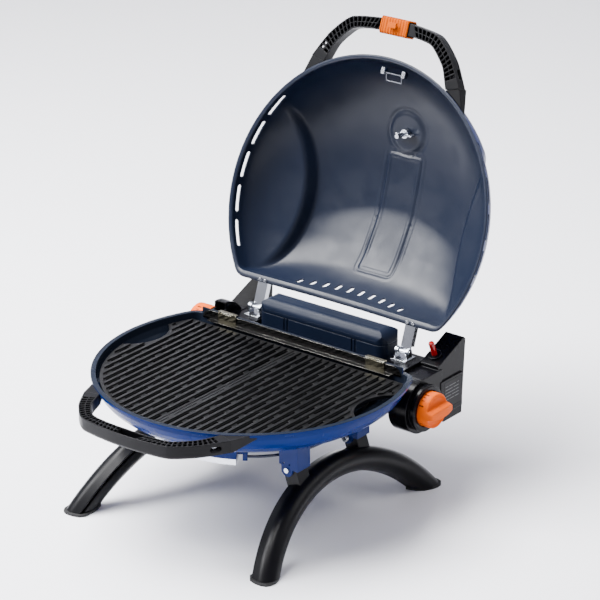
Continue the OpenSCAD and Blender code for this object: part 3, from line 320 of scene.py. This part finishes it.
def dress(obj, material):
    obj.data.materials.clear()
    obj.data.materials.append(material)


slot_of = {row["node"]: row["material_slot"] for row in frame["record"]["subparts"]}
for name, obj in frame["nodes"].items():
    dress(obj, PALETTE[SPECIAL.get(name, slot_of[name])])


# ---------------------------------------------------------------- mesh helpers

STADIUM_SIDES = 16
SHARP = math.radians(50)             # edges that turn more than this stay sharp


def smooth(x, low, high):
    """0 below low, 1 above high, and an even curve between."""
    t = min(1.0, max(0.0, (x - low) / (high - low)))
    return t * t * (3 - 2 * t)


def link_mesh(name, bm):
    """A new object in the scene that holds the bmesh, which is freed."""
    mesh = bpy.data.meshes.new(name)
    bm.to_mesh(mesh)
    bm.free()
    obj = bpy.data.objects.new(name, mesh)
    bpy.context.scene.collection.objects.link(obj)
    return obj


def hand_over(obj, material, body, replaced):
    """Dresses a finished piece and puts it in the place of a CAD node."""
    dress(obj, material)
    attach(obj, body)
    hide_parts(replaced)


def bake_modifiers(obj):
    bpy.context.view_layer.update()
    graph = bpy.context.evaluated_depsgraph_get()
    done = bpy.data.meshes.new_from_object(obj.evaluated_get(graph))
    obj.modifiers.clear()
    obj.data = done


def cut_away(obj, cutters):
    """Cuts the closed shapes of a bmesh out of a piece."""
    bmesh.ops.recalc_face_normals(cutters, faces=cutters.faces)
    cutter = link_mesh("cutter", cutters)
    cut = obj.modifiers.new("cut", "BOOLEAN")
    cut.operation, cut.solver, cut.object = "DIFFERENCE", "EXACT", cutter
    bake_modifiers(obj)
    bpy.data.objects.remove(cutter)


def prism(bm, ends):
    """A closed prism between two rings of points."""
    first, last = [[bm.verts.new(point) for point in ring] for ring in ends]
    bm.faces.new(first)
    bm.faces.new(list(reversed(last)))
    for k in range(len(first)):
        j = (k + 1) % len(first)
        bm.faces.new((first[j], first[k], last[k], last[j]))


def skin(bm, rings):
    """Quads between each ring of vertices and the next."""
    for a, b in zip(rings, rings[1:]):
        for k in range(len(a)):
            j = (k + 1) % len(a)
            bm.faces.new((a[k], a[j], b[j], b[k]))


def shade_smooth(bm):
    for face in bm.faces:
        face.smooth = True


def stadium(bm, place, along, up, out, length, height, depth):
    """A prism with round ends: length along, height up, and depth both ways out."""
    ring = []
    for k in range(STADIUM_SIDES):
        a = 2 * math.pi * (k + 0.5) / STADIUM_SIDES
        shift = (length - height) / 2 * (1 if math.cos(a) > 0 else -1)
        ring.append(along * (shift + height / 2 * math.cos(a)) + up * (height / 2 * math.sin(a)))
    prism(bm, [[place + p + out * s * depth for p in ring] for s in (-1, 1)])


# ---------------------------------------------------------------- pressed lid

# the lid's outline, dome and creases as the CAD draws them, about the bowl's centre
RIM_R, WALL_R = 235 * MM, 230 * MM
LID_CHORD, LID_WALL_CHORD = 141 * MM, 133 * MM   # where the flat rear edge lies
CORNER_R = 22 * MM
LIP_W = 5 * MM
LID_DEPTH, CHEEK_DEPTH = 114 * MM, 90 * MM
LID_REAR = 150 * MM                  # how far forward the rear slope runs
LID_BASE = 211.6 * MM                # height of the closed lid's rim plane
POWER = 2.3                          # squareness of the dome's section
CREASE_X, CREASE_R, CREASE_Y = 146 * MM, 258 * MM, 10 * MM   # arcs that part the two cheeks
GAUGE_Y = -128 * MM
# pressed detail that only this mesh has: the recessed band, the gauge's dimple and the rear arch
BAND = (34 * MM, -97 * MM, 95 * MM)  # half width, front and rear of the band
BAND_CORNER = 9 * MM
DIMPLE_R = 32 * MM
REAR_SLOPE_BLEND, REAR_BLEND_RUN = 22 * MM, 70 * MM   # width of the bend into the rear slope
CREASE_SOFT = (-7 * MM, 6 * MM)      # how far each side of its crease a cheek falls away
BAND_SINK, BAND_SLOPE = 1.2 * MM, (-5 * MM, -2 * MM)
GROOVES, GROOVE_DEPTH, GROOVE_W = (-7 * MM, 1.5 * MM), 0.9 * MM, 1.6 * MM
DIMPLE_SINK, DIMPLE_SLOPE = 2.2 * MM, 7 * MM
BEAD_HEIGHT, BEAD_W, BEAD_GAP = 1.0 * MM, 2.5 * MM, 3 * MM   # raised ring round the dimple
ARCH_HEIGHT, ARCH_X, ARCH_Y = 11 * MM, (20 * MM, 165 * MM), (100 * MM, 128 * MM)
SHEET, LID_SHARP = 2.0 * MM, math.radians(40)
LEAST_HEIGHT = 5 * MM                # of the wall over the rolled rim
LID_COLUMNS, LID_STEPS, STEP_POWER = 360, 111, 1.25   # the mesh is finer towards the wall
# the rolled rim: share of the way from the wall to the edge, and height in mm
ROLLED_RIM = ((0.0, 4.5), (0.0, 3.2), (0.12, 2.4), (0.5, 2.0), (0.85, 1.9), (1.0, 1.2), (1.0, 0.5))
# slot cutters: length, height and reach
SIDE_SLOTS, SIDE_SLOT_STEP, SIDE_SLOT_MIDDLE = 5, 13.5, -6.5   # a count, and degrees round
SIDE_SLOT_R, SIDE_SLOT_Z, SIDE_SLOT = 228 * MM, 12.5 * MM, (41.5 * MM, 7 * MM, 7 * MM)
REAR_SLOTS, REAR_SLOT_PITCH = 10, 21 * MM
REAR_SLOT_Y, REAR_SLOT_Z, REAR_SLOT = 122 * MM, 49.5 * MM, (17 * MM, 6.5 * MM, 16 * MM)
REAR_SLOT_DROP = 0.75 * MM           # the row droops to its ends, by this times place squared
GAUGE_STEM_R, GAUGE_STEM_SIDES = 3.6 * MM, 24


def reach(angle, radius, chord, corner):
    """Distance from the centre to a rim outline: a circle with a flat rear and round corners."""
    dx, dy = math.cos(angle), math.sin(angle)
    cx, cy = math.sqrt((radius - corner) ** 2 - (chord - corner) ** 2), chord - corner
    if dy <= 0 or math.atan2(dy, abs(dx)) <= math.atan2(cy, cx):
        return radius
    if abs(dx) / dy * chord <= cx:
        return chord / dy
    along = abs(dx) * cx + dy * cy
    return along + math.sqrt(max(0.0, along ** 2 - cx ** 2 - cy ** 2 + corner ** 2))


def super_height(r, a, b):
    """Height at r of a superellipse of radius a and height b."""
    return b * max(0.0, 1 - min(1.0, r / a) ** POWER) ** (1 / POWER)


def band_distance(x, y):
    """Signed distance to the rounded outline of the band, negative inside."""
    half, front, rear = BAND
    qx = abs(x) - half + BAND_CORNER
    qy = abs(y - (front + rear) / 2) - (rear - front) / 2 + BAND_CORNER
    return math.hypot(max(qx, 0), max(qy, 0)) + min(max(qx, qy), 0) - BAND_CORNER


def soft_min(a, b, width):
    """The lower of two values, with the corner between them rounded."""
    t = max(0.0, width - abs(a - b)) / width
    return min(a, b) - t * t * width / 4


def bump(distance, width):
    """1 at no distance, falling away evenly over about that width."""
    return math.exp(-(distance / width) ** 2)


def lid_height(x, y):
    """Height of the lid's outer face over its rim plane."""
    r = math.hypot(x, y)
    main = super_height(r, WALL_R, LID_DEPTH)
    run = max(0.0, y - (LID_WALL_CHORD - LID_REAR))
    meeting = REAR_SLOPE_BLEND * smooth(run, 0.0, REAR_BLEND_RUN) + 0.01 * MM
    main = soft_min(main, super_height(run, LID_REAR, LID_DEPTH + 0.5 * MM), meeting)
    inside = CREASE_R - math.hypot(abs(x) - CREASE_X - CREASE_R, y - CREASE_Y)
    cheek = min(main, super_height(r, WALL_R, CHEEK_DEPTH))
    height = main + (cheek - main) * smooth(inside, *CREASE_SOFT)
    # the band sits low between two pressed grooves
    d = band_distance(x, y)
    height -= BAND_SINK * (1 - smooth(d, *BAND_SLOPE))
    height -= GROOVE_DEPTH * sum(bump(d - groove, GROOVE_W) for groove in GROOVES)
    # a round dimple with a bead round it holds the gauge
    from_gauge = math.hypot(x, y - GAUGE_Y)
    height -= DIMPLE_SINK * (1 - smooth(from_gauge, DIMPLE_R - DIMPLE_SLOPE, DIMPLE_R))
    height += BEAD_HEIGHT * bump(from_gauge - DIMPLE_R - BEAD_GAP, BEAD_W)
    return height


def rear_arch(x, y):
    """How far the rim rises in the middle of the rear edge."""
    return ARCH_HEIGHT * (1 - smooth(abs(x), *ARCH_X)) * smooth(y, *ARCH_Y)


def lid_rows(angle):
    """Points of the lid from its crown to its rolled rim, in one direction."""
    wall = reach(angle, WALL_R, LID_WALL_CHORD, CORNER_R - LIP_W)
    rim = reach(angle, RIM_R, LID_CHORD, CORNER_R)
    dx, dy = math.cos(angle), math.sin(angle)
    for k in range(1, LID_STEPS):
        r = wall * (1 - (1 - k / LID_STEPS) ** STEP_POWER)
        x, y = dx * r, dy * r
        yield x, y, max(lid_height(x, y), rear_arch(x, y) + LEAST_HEIGHT)
    for out, z in ROLLED_RIM:
        r = wall + (rim - wall) * out
        x, y = dx * r, dy * r
        yield x, y, z * MM + rear_arch(x, y)


def lid_cutters():
    """Vent slots along each side and across the rear, and the hole for the thermometer's stem."""
    bm = bmesh.new()
    for side in (1, -1):
        for k in range(SIDE_SLOTS):
            a = math.radians(SIDE_SLOT_MIDDLE + SIDE_SLOT_STEP * (k - (SIDE_SLOTS - 1) / 2))
            out = Vector((side * math.cos(a), math.sin(a), 0))
            along = Vector((-side * math.sin(a), math.cos(a), 0))
            stadium(bm, out * SIDE_SLOT_R + UP * SIDE_SLOT_Z, along, UP, out, *SIDE_SLOT)
    for k in range(REAR_SLOTS):
        from_middle = k - (REAR_SLOTS - 1) / 2
        height = REAR_SLOT_Z - REAR_SLOT_DROP * from_middle ** 2
        stadium(bm, Vector((from_middle * REAR_SLOT_PITCH, REAR_SLOT_Y, height)),
                UP, Vector((1, 0, 0)), Vector((0, 1, 0)), *REAR_SLOT)
    stem = Vector((0, GAUGE_Y, lid_height(0, GAUGE_Y)))
    ring = [Vector((math.cos(a), math.sin(a), 0)) * GAUGE_STEM_R
            for a in (2 * math.pi * k / GAUGE_STEM_SIDES for k in range(GAUGE_STEM_SIDES))]
    prism(bm, [[stem + p + UP * end for p in ring] for end in (-20 * MM, 20 * MM)])
    return bm


def pressed_lid():
    """The lid as one pressed sheet, drawn closed and then swung open."""
    bm = bmesh.new()
    crown = bm.verts.new((0, 0, lid_height(0, 0)))
    columns = [[bm.verts.new(p) for p in lid_rows(math.radians(90 + 360 * k / LID_COLUMNS))]
               for k in range(LID_COLUMNS)]
    for column, other in zip(columns, columns[1:] + columns[:1]):
        bm.faces.new((crown, column[0], other[0]))
        for a, b, c, d in zip(column, column[1:], other[1:], other):
            bm.faces.new((a, b, c, d))
    shade_smooth(bm)
    bmesh.ops.recalc_face_normals(bm, faces=bm.faces)
    lid = link_mesh("pressed_lid", bm)
    shell = lid.modifiers.new("sheet", "SOLIDIFY")
    shell.thickness = SHEET
    shell.offset = -1
    bake_modifiers(lid)
    cut_away(lid, lid_cutters())
    for vertex in lid.data.vertices:
        vertex.co = in_open_lid(vertex.co + UP * LID_BASE)
    lid.data.set_sharp_from_angle(angle=LID_SHARP)
    hand_over(lid, PALETTE["lid"], "lid", "lid_shell")


pressed_lid()


# ---------------------------------------------------------------- knobs and label

KNOB_STEPS = 96                      # sides of each ring
GRIP_HEIGHT, GRIP_FALL = 12 * MM, 2.2 * MM        # at its middle, and how much less at its ends
GRIP_HALF, GRIP_TAPER = 8.2 * MM, 3.4 * MM        # half its width, and how much less at its ends
SCOOP_DEPTH, EDGE_DROP = 2.2 * MM, 1.4 * MM
FACE_SHARES = (0.06, 0.12, 0.18, 0.24, 0.3, 0.36, 0.42, 0.48, 0.54, 0.6, 0.66, 0.72, 0.78, 0.83,
               0.88, 0.92, 0.95, 0.975, 0.99, 1.0)
# the skirt from the face back to the housing, with a shallow groove: shares of depth and radius
SKIRT_RINGS = ((0.08, 1.0), (0.4, 1.0), (0.8, 1.0), (0.84, 0.985), (0.9, 0.985), (0.94, 1.0),
               (1.0, 1.0), (1.0, 0.8))
KNOB_ORANGE = (0.62, 0.085, 0.0)
# dial ticks on the skirt: place in degrees, half length and half width in mm
TICKS = ((150, 3.6, 0.9), (132, 2.2, 0.5), (120, 2.2, 0.5), (108, 3.6, 0.9), (215, 3.0, 0.7),
         (228, 2.2, 0.5))
TICK_INK = (0.02, 0.006, 0.003)
SKIRT_R_MM = 26                      # turns a tick's width into an angle
LINE_PITCH = 5.2 * MM
LABEL_INK = (0.10, 0.10, 0.105)


def knob_relief(u, v, radius):
    """Height of a knob's face over its skirt: a lens-shaped grip between two scoops."""
    across = abs(v)
    half = GRIP_HALF - GRIP_TAPER * (u / radius) ** 2
    grip = 1 - smooth(across, half - 1.2 * MM, half + 2.0 * MM)
    crown = GRIP_HEIGHT - GRIP_FALL * (u / radius) ** 2
    r = math.hypot(u, v)
    scoop = (SCOOP_DEPTH * smooth(across, half, half + 6 * MM)
             * (1 - smooth(r, radius - 6 * MM, radius - 1.5 * MM)))
    edge = EDGE_DROP * smooth(r, radius - 2.2 * MM, radius) ** 2
    return grip * crown - (1 - grip) * scoop - edge


def knob(side, name, axis_y, axis_z):
    """An orange control knob on the CAD knob's axis, facing along side * X."""
    low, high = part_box(name)
    inner, outer = (low.x, high.x) if side > 0 else (high.x, low.x)
    radius = (high.z - low.z) / 2
    skirt = outer - side * GRIP_HEIGHT
    bm = bmesh.new()

    def at(x, u, v):
        # the grip runs along Y, so u is along Y and v along Z
        return bm.verts.new((x, axis_y + u, axis_z + v))

    circle = [(math.cos(a), math.sin(a))
              for a in (2 * math.pi * k / KNOB_STEPS for k in range(KNOB_STEPS))]
    rings = []
    for share in FACE_SHARES:
        r = (radius - 0.3 * MM) * share
        ring = []
        for u, v in ((r * c, r * s) for c, s in circle):
            ring.append(at(skirt + side * knob_relief(u, v, radius), u, v))
        rings.append(ring)
    for depth, share in SKIRT_RINGS:
        r = radius * share
        ring = []
        for u, v in ((r * c, r * s) for c, s in circle):
            top = skirt + side * knob_relief(u * 0.985, v * 0.985, radius) - side * 0.8 * MM
            ring.append(at(top + (inner - top) * depth, u, v))
        rings.append(ring)
    middle = at(skirt + side * knob_relief(0, 0, radius), 0, 0)
    back = at(inner, 0, 0)
    for k in range(KNOB_STEPS):
        j = (k + 1) % KNOB_STEPS
        bm.faces.new((middle, rings[0][k], rings[0][j]))
        bm.faces.new((back, rings[-1][j], rings[-1][k]))
    skin(bm, rings)
    shade_smooth(bm)
    bmesh.ops.recalc_face_normals(bm, faces=bm.faces)
    piece = link_mesh(name + "_moulding", bm)
    piece.data.set_sharp_from_angle(angle=SHARP)
    material = marked_orange(name, axis_y, axis_z, inner, skirt)
    hand_over(piece, material, name, name)


def marked_orange(name, axis_y, axis_z, inner, skirt):
    """The knob's orange with a few plain dark dial ticks printed on its skirt."""
    material = finish("orange_" + name, KNOB_ORANGE, 0.36, grain=1100, relief=0.00005,
                      variety=0.07, wear=(0.75, 0.13, 0.0), wear_amount=0.3, edge=0.0012,
                      Specular_IOR_Level=0.06)
    tree = material.node_tree
    place = object_place(tree)
    parts = add(tree, "ShaderNodeSeparateXYZ", Vector=place)
    dy = maths(tree, "SUBTRACT", parts.outputs["Y"], axis_y)
    dz = maths(tree, "SUBTRACT", parts.outputs["Z"], axis_z)
    angle = maths(tree, "ARCTAN2", dz, dy)
    middle = inner + (skirt - inner) * 0.62
    along = maths(tree, "ABSOLUTE", maths(tree, "SUBTRACT", parts.outputs["X"], middle))
    printed = None
    for degrees, half_length, half_width in TICKS:
        at_angle = wrapped(math.radians(degrees))
        away = maths(tree, "ABSOLUTE", maths(tree, "SUBTRACT", angle, at_angle))
        half_angle = half_width / SKIRT_R_MM
        tick = product(tree, ramp(tree, away, half_angle + 0.006, half_angle),
                       ramp(tree, along, (half_length + 0.2) * MM, half_length * MM))
        printed = tick if printed is None else maths(tree, "MAXIMUM", printed, tick)
    worn_print = product(tree, printed, ramp(tree, noise(tree, place, 500.0), 0.25, 0.45, 0.6, 1.0))
    paint_over(tree, worn_print, TICK_INK)
    return material


def wrapped(angle):
    """The same direction between -pi and pi, as ARCTAN2 gives it."""
    return math.atan2(math.sin(angle), math.cos(angle))


def lined_label():
    """Dark foil with broken pale lines, standing for small print."""
    tree = PALETTE["label_foil"].node_tree
    parts = add(tree, "ShaderNodeSeparateXYZ", Vector=object_place(tree)).outputs
    low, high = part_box("control_label")
    row = maths(tree, "DIVIDE", maths(tree, "SUBTRACT", parts["Z"], low.z), LINE_PITCH)
    from_line = maths(tree, "ABSOLUTE", maths(tree, "SUBTRACT", maths(tree, "FRACT", row), 0.5))
    line = ramp(tree, from_line, 0.12, 0.07)
    # each line breaks into words of its own
    word_place = add(tree, "ShaderNodeCombineXYZ", X=maths(tree, "MULTIPLY", parts["Y"], 160.0),
                     Y=maths(tree, "MULTIPLY", maths(tree, "FLOOR", row), 7.3)).outputs[0]
    words = ramp(tree, noise(tree, word_place, 1.0, 1.0), 0.40, 0.44)
    soft = 0.2 * MM
    inside = product(tree, *(ramp(tree, parts[axis], edge, edge + step) for axis, edge, step in (
        ("Y", low.y + 3 * MM, soft), ("Y", high.y - 6 * MM, -soft),
        ("Z", low.z + 11 * MM, soft), ("Z", high.z - 5 * MM, -soft))))
    paint_over(tree, product(tree, line, words, inside), LABEL_INK)


for side, name in ((1, "knob_right"), (-1, "knob_left")):
    knob_low, knob_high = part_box(name)
    knob(side, name, (knob_low.y + knob_high.y) / 2, (knob_low.z + knob_high.z) / 2)
lined_label()


# ---------------------------------------------------------------- handles and latch

# the corners of half a handle's plan as the CAD draws it, about the bowl's centre, in mm
HANDLE_OUTER = [(136, -213), (112, -252), (79, -282), (25, -290)]
HANDLE_INNER = [(112, -206.5), (99, -238), (72, -265), (35, -271)]
LID_HANDLE_Z = 213 * MM              # underside of the lid's handle when the lid is closed
BOWL_HANDLE_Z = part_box("bowl_handle")[0].z
HANDLE_T = 19.5 * MM
BOWL_HANDLE_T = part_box("bowl_handle")[1].z - BOWL_HANDLE_Z
RIM_CLEAR = 0.8 * MM                 # least gap between a handle and the rim
CURVE_TENSION = 0.32
CURVE_STEPS = 900
POCKET_PITCH, POCKET_RIB, POCKET_DRAFT = 7.0 * MM, 2.0 * MM, 0.25 * MM
POCKET_DEPTH = 11.0 * MM
PLAIN_ENDS = 24 * MM                 # length with no pockets, both ends together
# shares of the width where walls, ribs and the two rows of pockets begin and end
WIDTH_ROWS = (0.0, 0.10, 0.125, 0.455, 0.475, 0.525, 0.545, 0.875, 0.90, 1.0)
POCKET_ROWS = (2, 3, 6, 7)
EDGE_ROUND = 3 * MM                  # height of the rounding along the plain side
LATCH_SEAT, LATCH_SPAN = 2.4 * MM, (-26 * MM, 39 * MM)
HOOK_TRENCH, HOOK_SPAN = 10.5 * MM, (-10 * MM, 27 * MM)
SCREW_PLACE, SCREW_TURN = (124 * MM, -232.5 * MM), math.radians(58.4)
SCREW_SLOT = (17 * MM, 7.6 * MM, 8 * MM)


def mirrored(points):
    return points + [(-x, y) for x, y in reversed(points)]


def curve_through(points, t):
    """A point on a smooth curve through the points, with t from 0 to 1."""
    spans = len(points) - 1
    i = min(int(t * spans), spans - 1)
    u = t * spans - i
    before, start, end, after = [Vector(points[max(0, min(spans, i + k))]) for k in (-1, 0, 1, 2)]
    return ((2 * u ** 3 - 3 * u ** 2 + 1) * start
            + (u ** 3 - 2 * u ** 2 + u) * (end - before) * CURVE_TENSION
            + (3 * u ** 2 - 2 * u ** 3) * end
            + (u ** 3 - u ** 2) * (after - start) * CURVE_TENSION) * MM


def handle_stations():
    """Places along a handle: the distance run, and the inner and outer points there."""
    inner, outer = mirrored(HANDLE_INNER), mirrored(HANDLE_OUTER)
    table, run, last = [], 0.0, None
    for k in range(CURVE_STEPS + 1):
        a, b = curve_through(inner, k / CURVE_STEPS), curve_through(outer, k / CURVE_STEPS)
        middle = (a + b) / 2
        run += 0.0 if last is None else (middle - last).length
        last = middle
        table.append((run, a, b))
    return table


def station_at(table, run):
    """The inner and outer points at one distance along a handle."""
    for before, after in zip(table, table[1:]):
        if after[0] >= run:
            u = (run - before[0]) / max(after[0] - before[0], 1e-9)
            return before[1].lerp(after[1], u), before[2].lerp(after[2], u)
    return table[-1][1], table[-1][2]


def pocket_runs(length):
    """Distances along a handle where its pockets begin and end, each with 1 inside a pocket."""
    count = int((length - PLAIN_ENDS) / POCKET_PITCH)
    start = (length - count * POCKET_PITCH) / 2
    runs = [(0.0, 0)]
    for k in range(count):
        low = start + k * POCKET_PITCH + POCKET_RIB / 2
        high = low + POCKET_PITCH - POCKET_RIB
        runs += [(low, 0), (low + POCKET_DRAFT, 1), (high - POCKET_DRAFT, 1), (high, 0)]
    return runs + [(length, 0)]


def row_depth(row, open_here, near_latch, near_trench):
    """How deep a row of a handle's pocket side lies at one station."""
    if near_latch:
        return LATCH_SEAT
    if near_trench:
        return HOOK_TRENCH if POCKET_ROWS[0] <= row <= POCKET_ROWS[-1] else 0.0
    return POCKET_DEPTH if open_here and row in POCKET_ROWS else 0.0


def handle_moulding(name, body, replaced, pockets_up, base, thickness, place):
    """A carrying handle with a two-row ladder of pockets on its upper side or its underside.

    The latch's seat is in the underside of the lid's handle, and the trench that takes the
    latch's hook is in the top of the bowl's.
    """
    table = handle_stations()
    bm = bmesh.new()
    rings = []
    for run, open_here in pocket_runs(table[-1][0]):
        inner, outer = station_at(table, run)
        middle_x = (inner.x + outer.x) / 2
        near_latch = not pockets_up and LATCH_SPAN[0] < middle_x < LATCH_SPAN[1]
        near_trench = pockets_up and HOOK_SPAN[0] < middle_x < HOOK_SPAN[1]
        ring = [(share, row_depth(row, open_here, near_latch, near_trench))
                for row, share in enumerate(WIDTH_ROWS)]
        ring += [(1.0, thickness - EDGE_ROUND), (0.93, thickness), (0.07, thickness),
                 (0.0, thickness - EDGE_ROUND)]
        verts = []
        for share, depth in ring:
            flat = inner.lerp(outer, share)
            if flat.length < RIM_R + RIM_CLEAR:
                flat = flat.normalized() * (RIM_R + RIM_CLEAR)
            z = base + thickness - depth if pockets_up else base + depth
            verts.append(bm.verts.new(place((flat.x, flat.y, z))))
        rings.append(verts)
    skin(bm, rings)
    bm.faces.new(rings[0])
    bm.faces.new(list(reversed(rings[-1])))
    bmesh.ops.recalc_face_normals(bm, faces=bm.faces)
    piece = link_mesh(name, bm)
    cut_away(piece, screw_slots(base + thickness / 2, place))
    hand_over(piece, PALETTE["black_plastic"], body, replaced)


def screw_slots(height, place):
    """Cutters for the slots in the outer face of both ends, where the screws are reached."""
    bm = bmesh.new()
    for side in (1, -1):
        centre = Vector((side * SCREW_PLACE[0], SCREW_PLACE[1], height))
        out = Vector((side * math.sin(SCREW_TURN), -math.cos(SCREW_TURN), 0))
        along = Vector((math.cos(SCREW_TURN), side * math.sin(SCREW_TURN), 0))
        axes = [place(centre + axis) - place(centre) for axis in (along, UP, out)]
        stadium(bm, place(centre), *axes, *SCREW_SLOT)
    return bm


LATCH_BOX = ((-293.7 * MM, -267.3 * MM), (212.2 * MM, 235.7 * MM))   # Y and Z, lid closed
LATCH_HALF, LATCH_WALL = 25 * MM, 2.4 * MM
LATCH_ROUND, LATCH_INNER_ROUND = 3.2 * MM, 0.8 * MM
LATCH_STEPS = 80
RIDGE_DEPTH, RIDGE_PITCH, RIDGE_REACH = 1.2 * MM, 5 * MM, 22.5 * MM
CORNER_POINTS = 5
# the hook in mm, lid closed: its outline in X and Z, and its span in Y
HOOK_OUTLINE = ((-5, 204.2), (9, 204.2), (9, 206.8), (3, 206.8), (3, 213.0), (-5, 213.0))
HOOK_Y = (-286, -278)


def round_box(y_span, z_span, inset, radius):
    """Points round a rectangle in Y and Z, shrunk by inset and with its corners rounded."""
    y0, y1 = y_span[0] + inset + radius, y_span[1] - inset - radius
    z0, z1 = z_span[0] + inset + radius, z_span[1] - inset - radius
    points = []
    for cy, cz, first in ((y1, z1, 0), (y0, z1, 90), (y0, z0, 180), (y1, z0, 270)):
        for k in range(CORNER_POINTS):
            a = math.radians(first + 90 * k / (CORNER_POINTS - 1))
            points.append((cy + radius * math.cos(a), cz + radius * math.sin(a)))
    return points


def ridged_latch():
    """The sliding latch: a ribbed sleeve round the bar, with a hook below."""
    bm = bmesh.new()
    outer_rings, inner_rings = [], []
    for k in range(LATCH_STEPS + 1):
        x = -LATCH_HALF + 2 * LATCH_HALF * k / LATCH_STEPS
        cut = RIDGE_DEPTH / 2 * (1 - math.cos(2 * math.pi * x / RIDGE_PITCH))
        cut = cut if abs(x) < RIDGE_REACH else 0.0
        cut += RIDGE_DEPTH * smooth(abs(x), LATCH_HALF - 1.5 * MM, LATCH_HALF)
        for rings, inset, radius in ((outer_rings, cut, LATCH_ROUND),
                                     (inner_rings, LATCH_WALL, LATCH_INNER_ROUND)):
            rings.append([bm.verts.new(in_open_lid((x, y, z)))
                          for y, z in round_box(*LATCH_BOX, inset, radius)])
    skin(bm, outer_rings)
    skin(bm, inner_rings)
    for end in (0, -1):
        skin(bm, [outer_rings[end], inner_rings[end]])
    shade_smooth(bm)
    prism(bm, [[in_open_lid((x * MM, y * MM, z * MM)) for x, z in HOOK_OUTLINE] for y in HOOK_Y])
    bmesh.ops.recalc_face_normals(bm, faces=bm.faces)
    piece = link_mesh("latch_moulding", bm)
    piece.data.set_sharp_from_angle(angle=SHARP)
    hand_over(piece, PALETTE["orange_plastic"], "lid_latch", "lid_latch")


handle_moulding("lid_handle_moulding", "lid", "lid_handle", False, LID_HANDLE_Z, HANDLE_T,
                in_open_lid)
handle_moulding("bowl_handle_moulding", "base", "bowl_handle", True, BOWL_HANDLE_Z,
                BOWL_HANDLE_T, beside_bowl)
ridged_latch()


# ---------------------------------------------------------------- studio and camera

# the photo's camera: degrees round from the front, above the floor and rolled, and its lens
CAMERA_PLACE = Vector((2.50246, -3.09508, 1.94494))
CAMERA_AZIMUTH, CAMERA_ELEVATION, CAMERA_ROLL = 38.401, 22.461, -0.359
CAMERA_LENS, CAMERA_SENSOR = 177.85, 36.0
MIDDLE = Vector((0, 0, 0.25))        # what the lights point at
FLOOR_NEAR, FLOOR_FAR, FLOOR_HALF = -8.0, 3.2, 9.0
SWEEP_R, SWEEP_STEPS, SWEEP_TOP = 2.0, 12, 7.0
PAPER = ((0.86, 0.86, 0.90), (0.89, 0.89, 0.925))
SKY, SKY_STRENGTH = (0.90, 0.90, 1.0), 0.6


def direction(azimuth, elevation):
    """The unit vector towards that azimuth and elevation, where azimuth 0 is the front."""
    return Vector((math.sin(azimuth) * math.cos(elevation),
                   -math.cos(azimuth) * math.cos(elevation), math.sin(elevation)))


def look_from(obj, place, azimuth, elevation, roll=0.0):
    """Puts a camera or light at place, looking back along that azimuth and elevation."""
    back = direction(azimuth, elevation)
    right = Vector((math.cos(azimuth), math.sin(azimuth), 0))
    up = back.cross(right)
    c, s = math.cos(roll), math.sin(roll)
    axes = Matrix((c * right + s * up, -s * right + c * up, back)).transposed()
    obj.matrix_world = Matrix.Translation(place) @ axes.to_4x4()
    bpy.context.scene.collection.objects.link(obj)


def photo_camera():
    camera = bpy.data.objects.new("camera", bpy.data.cameras.new("camera"))
    camera.data.lens = CAMERA_LENS
    camera.data.sensor_width = CAMERA_SENSOR
    look_from(camera, CAMERA_PLACE, math.radians(CAMERA_AZIMUTH),
              math.radians(CAMERA_ELEVATION), math.radians(CAMERA_ROLL))
    bpy.context.scene.camera = camera


def studio_floor():
    """A pale sweep: flat under the grill, and curving up far behind it."""
    bm = bmesh.new()
    profile = [(FLOOR_NEAR, 0.0), (FLOOR_FAR, 0.0)]
    for k in range(1, SWEEP_STEPS + 1):
        a = math.radians(90 * k / SWEEP_STEPS)
        profile.append((FLOOR_FAR + SWEEP_R * math.sin(a), SWEEP_R - SWEEP_R * math.cos(a)))
    profile.append((FLOOR_FAR + SWEEP_R, SWEEP_TOP))
    left, right = [[bm.verts.new((x, y, z)) for y, z in profile] for x in (-FLOOR_HALF, FLOOR_HALF)]
    for a, b, c, d in zip(left, left[1:], right[1:], right):
        bm.faces.new((d, c, b, a))
    shade_smooth(bm)
    floor = link_mesh("floor", bm)
    floor.matrix_world = Matrix.Rotation(math.radians(CAMERA_AZIMUTH), 4, "Z")
    material, tree, shader = new_material("floor_paper")
    place = object_place(tree)
    tone = mix_colour(tree, noise(tree, place, 1.3, 2.0), rgba(PAPER[0]), rgba(PAPER[1]))
    grain = add(tree, "ShaderNodeBump", Strength=0.1, Distance=0.0004,
                Height=noise(tree, place, 400.0))
    plug(tree, shader.inputs["Base Color"], tone)
    plug(tree, shader.inputs["Normal"], grain.outputs[0])
    plug(tree, shader.inputs["Roughness"], 0.6)
    dress(floor, material)


def soft_light(name, azimuth, elevation, distance, size, power, colour=(1, 1, 1)):
    lamp = bpy.data.lights.new(name, "AREA")
    lamp.shape = "RECTANGLE"
    lamp.size, lamp.size_y = size
    lamp.energy = power
    lamp.color = colour
    azimuth, elevation = math.radians(azimuth), math.radians(elevation)
    look_from(bpy.data.objects.new(name, lamp),
              MIDDLE + direction(azimuth, elevation) * distance, azimuth, elevation)


def plain_sky():
    world = bpy.data.worlds.new("studio")
    bpy.context.scene.world = world
    world.use_nodes = True
    background = world.node_tree.nodes["Background"]
    background.inputs["Color"].default_value = rgba(SKY)
    background.inputs["Strength"].default_value = SKY_STRENGTH


photo_camera()
studio_floor()
soft_light("overhead", 292, 68, 2.6, (2.4, 1.8), 400)
soft_light("key", -48, 38, 3.0, (1.1, 1.1), 110, (0.97, 0.98, 1.0))
soft_light("side", 130, 38, 3.0, (1.4, 1.8), 30)
plain_sky()
